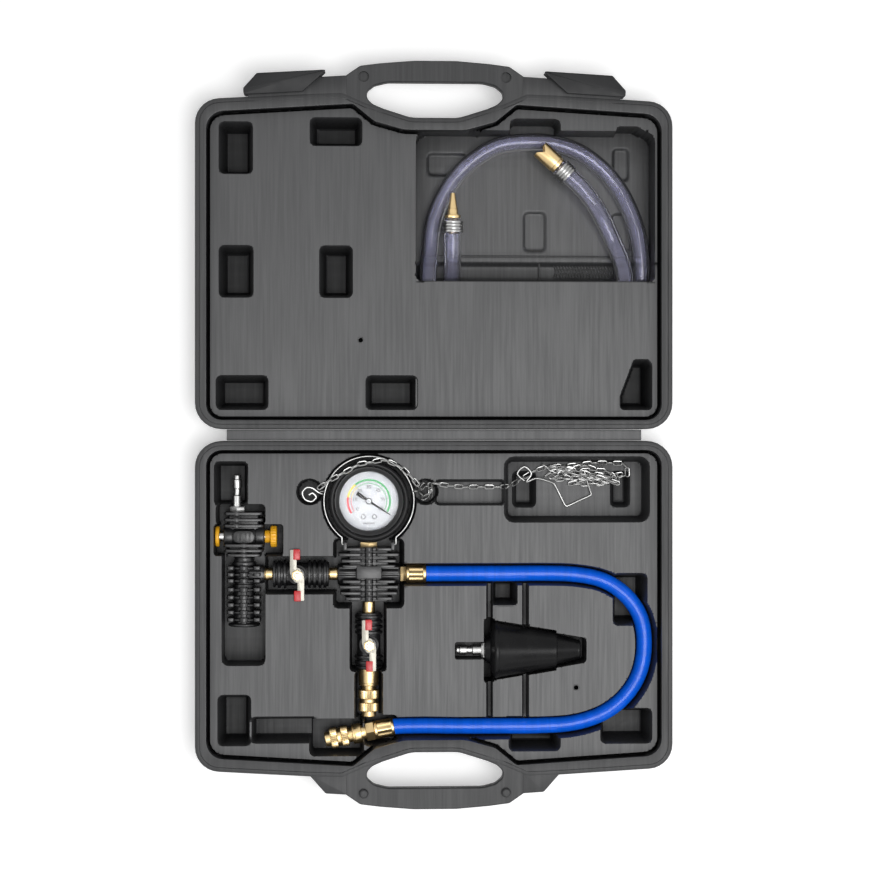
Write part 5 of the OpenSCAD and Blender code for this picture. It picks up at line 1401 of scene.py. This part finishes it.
class KIT_OT_fittings(bpy.types.Operator):
    """Turn the brass hose fitting, the ferrules and both quick couplers"""

    bl_idname = "kit.fittings"
    bl_label = "Turn Fittings"

    def execute(self, context):
        port = (-29, MAIN_Y, TOOL_Z)
        rows = thread(-7, 0, 5.2) + [(0, 6, 6), (5, 6, 6), (5, 3.5)] + thread(5, 19, 3.6, 4, 0.5) + [(19, 2.2)]
        lathe("hose_hex_fitting", "tool", "hose_fitting", "brass", rows, port, RIGHT, False)
        crimp("crimped_ferrule_a", "fitting_ferrule", (-24, MAIN_Y, TOOL_Z), RIGHT)
        lean = (*ways(COUPLER_LEAN), 0)
        crimp("crimped_ferrule_b", "coupler_ferrule", HOSE_END, lean)
        stock = Stock()
        turned(stock, [(4, 2.5), (4, 3.6), (17.3, 3.6), (17.3, 7.4, 6), (24, 7.4, 6), (24.4, 6.6), (28, 6.6)],
               HOSE_END, lean)
        coupler(stock, HOSE_END, lean, 28, 36, 59.5)
        piece("hose_quick_coupler", stock, "tool", "hose_coupler_body", "brass", closed=False)
        sleeve("hose_knurled_sleeve", "hose_sleeve", "hose_coupler_sleeve", HOSE_END, lean, 39.4, 55)
        outlet = (GAUGE[0], VALVE_2[1] - 20.8, TOOL_Z)
        stock = Stock()
        turned(stock, thread(-7, 0, 5.2) + [(0, 6)], outlet, FRONT)
        coupler(stock, outlet, FRONT, 0, 14.5, 40.8)
        piece("outlet_quick_coupler", stock, "tool", "outlet_coupler_body", "brass", closed=False)
        sleeve("outlet_knurled_sleeve", "outlet_sleeve", "outlet_coupler_sleeve", outlet, FRONT, 17.9, 36.3)
        return {"FINISHED"}


class KIT_OT_adapters(bpy.types.Operator):
    """Mould the rubber cone with its plug and turn the clear hose's two nozzles and clamps"""

    bl_idname = "kit.adapters"
    bl_label = "Make Adapters"

    def execute(self, context):
        rows = [(0, 4.9), (0, 9.4), (0.6, 10), (4.6, 12), (6.4, 20), (7, 22.6), (8.2, 24.1), (10.6, 24.2),
                (11.4, 23.6), (56, 15.9), (58.6, 15.5), (60.6, 15.3), (61, 13.4), (78, 8.9), (78.6, 8.5), (80.6, 8.4),
                (81.5, 7.4), (81.4, 3.4), (76, 3), (20, 3), (20, 0)]
        lathe("cone_of_rubber", "cone", "rubber_cone", "black_rubber", rows, CONE_AT, RIGHT, False,
              sides=80, ease=0.6)
        stock = Stock()
        air_plug(stock, CONE_AT, LEFT, 12, 3, 21, 11)
        piece("cone_air_plug", stock, "cone", "cone_plug", "steel")
        tip, end, way = CLEAR_ROUTE[0], CLEAR_ROUTE[-1], unit((-9.6, 8.8, 0))
        barb = [(-12, 3)] + thread(-12, 0, 5, 4, 0.5)
        rows = barb + [(0.3, 6), (0.5, 6.5), (3, 6.5), (3.2, 4.6), (8, 4.3), (8.6, 3.9), (22, 1.8), (22, 1), (14, 0.9),
                       (14, 0)]
        lathe("pointed_nozzle", "lid", "tip_nozzle", "brass", rows, tip, BACK, False)
        stock = Stock()
        turned(stock, barb + [(0.3, 6.5), (0.5, 7), (3, 7), (3.4, 7.7), (6, 7.7)], end, way)
        self.fish_mouth(stock, end, way)
        piece("notched_brass_nozzle", stock, "lid", "notched_nozzle", "brass", closed=False)
        stock = Stock()
        for origin, along in ((tip, BACK), (end, way)):
            rows = [(-12, 7.7)]
            for z in (-12, -9.4, -6.8, -4.2):
                rows += [(z, 8.2), (z + 0.3, 8.95), (z + 1.8, 8.95), (z + 2.1, 8.2)]
            turned(stock, rows + [(-2, 8), (-2, 7.7)], origin, along)
        piece("hose_wire_clamps", stock, "lid", "hose_clamps", "wire_steel", closed=False)
        return {"FINISHED"}

    @staticmethod
    def fish_mouth(stock, origin, along):
        """Tube whose end is cut back as a V: the length falls as the distance from the middle plane shrinks."""
        a = full_turn(96)
        rows = []
        for r, z in ((7.7, 6), (7.7, 21.3), (7.45, 22), (5.7, 22), (5.4, 21.4), (5.4, 8), (0.1, 8)):
            cut = np.maximum(0, 4.95 - np.abs(7 * np.cos(a))) if z > 20 else 0 * a
            rows.append(at_height(r * ways(a), z - cut))
        stock.grid(placed(np.stack(rows), origin, along))


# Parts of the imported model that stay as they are

SHOWN_NODES = {
    "steel": ("spool_rod", "valve1_ball", "valve2_ball"), "black_rubber": ("spool_seals",),
    "brass": ("venturi_jet", "gauge_movement", "sector_gear", "bourdon_tube"),
    "seat_plastic": ("valve1_seats", "valve2_seats")}


class KIT_OT_inner_parts(bpy.types.Operator):
    """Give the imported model's inner parts their finishes"""

    bl_idname = "kit.inner_parts"
    bl_label = "Finish Inner Parts"

    def execute(self, context):
        for finish_name, nodes in SHOWN_NODES.items():
            for node in nodes:
                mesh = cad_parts[node].data
                mesh.materials.clear()
                mesh.materials.append(FINISHES[finish_name])
        return {"FINISHED"}


class FillerSettings(bpy.types.PropertyGroup):
    """All settings of the filler kit."""

    case: bpy.props.PointerProperty(type=CaseSettings, name="Case", description="Case settings")
    tool: bpy.props.PointerProperty(type=ToolSettings, name="Tool", description="Tool settings")
    hose: bpy.props.PointerProperty(type=HoseSettings, name="Hoses", description="Hose and chain settings")
    stage: bpy.props.PointerProperty(type=StageSettings, name="Stage", description="Camera and light settings")


STEPS = (KIT_OT_finishes, KIT_OT_stage, KIT_OT_fittings, KIT_OT_adapters, KIT_OT_hoses, KIT_OT_hanging_gear,
         KIT_OT_case, KIT_OT_vacuum_side, KIT_OT_valves, KIT_OT_manifold, KIT_OT_gauge, KIT_OT_inner_parts)


class KIT_PT_filler(bpy.types.Panel):
    bl_idname = "KIT_PT_filler"
    bl_label = "Coolant Vacuum Filler"
    bl_space_type = "VIEW_3D"
    bl_region_type = "UI"
    bl_category = "Filler Kit"

    def draw(self, context):
        kit = settings()
        for group in (kit.case, kit.tool, kit.hose, kit.stage):
            column = self.layout.box().column()
            for name in group.__annotations__:
                column.prop(group, name)
        column = self.layout.column()
        for step in STEPS:
            column.operator(step.bl_idname)


CLASSES = (CaseSettings, ToolSettings, HoseSettings, StageSettings, FillerSettings, *STEPS, KIT_PT_filler)


def register():
    """Registers the classes and the scene's settings."""
    for cls in CLASSES:
        bpy.utils.register_class(cls)
    bpy.types.Scene.filler_kit = bpy.props.PointerProperty(type=FillerSettings)


def unregister():
    """Takes the settings and the classes away again."""
    del bpy.types.Scene.filler_kit
    for cls in reversed(CLASSES):
        bpy.utils.unregister_class(cls)


def main():
    register()
    for step in STEPS:
        area, name = step.bl_idname.split(".")
        if getattr(getattr(bpy.ops, area), name)() != {"FINISHED"}:
            raise RuntimeError(f"{step.bl_label} did not finish")


if __name__ == "__main__":
    main()
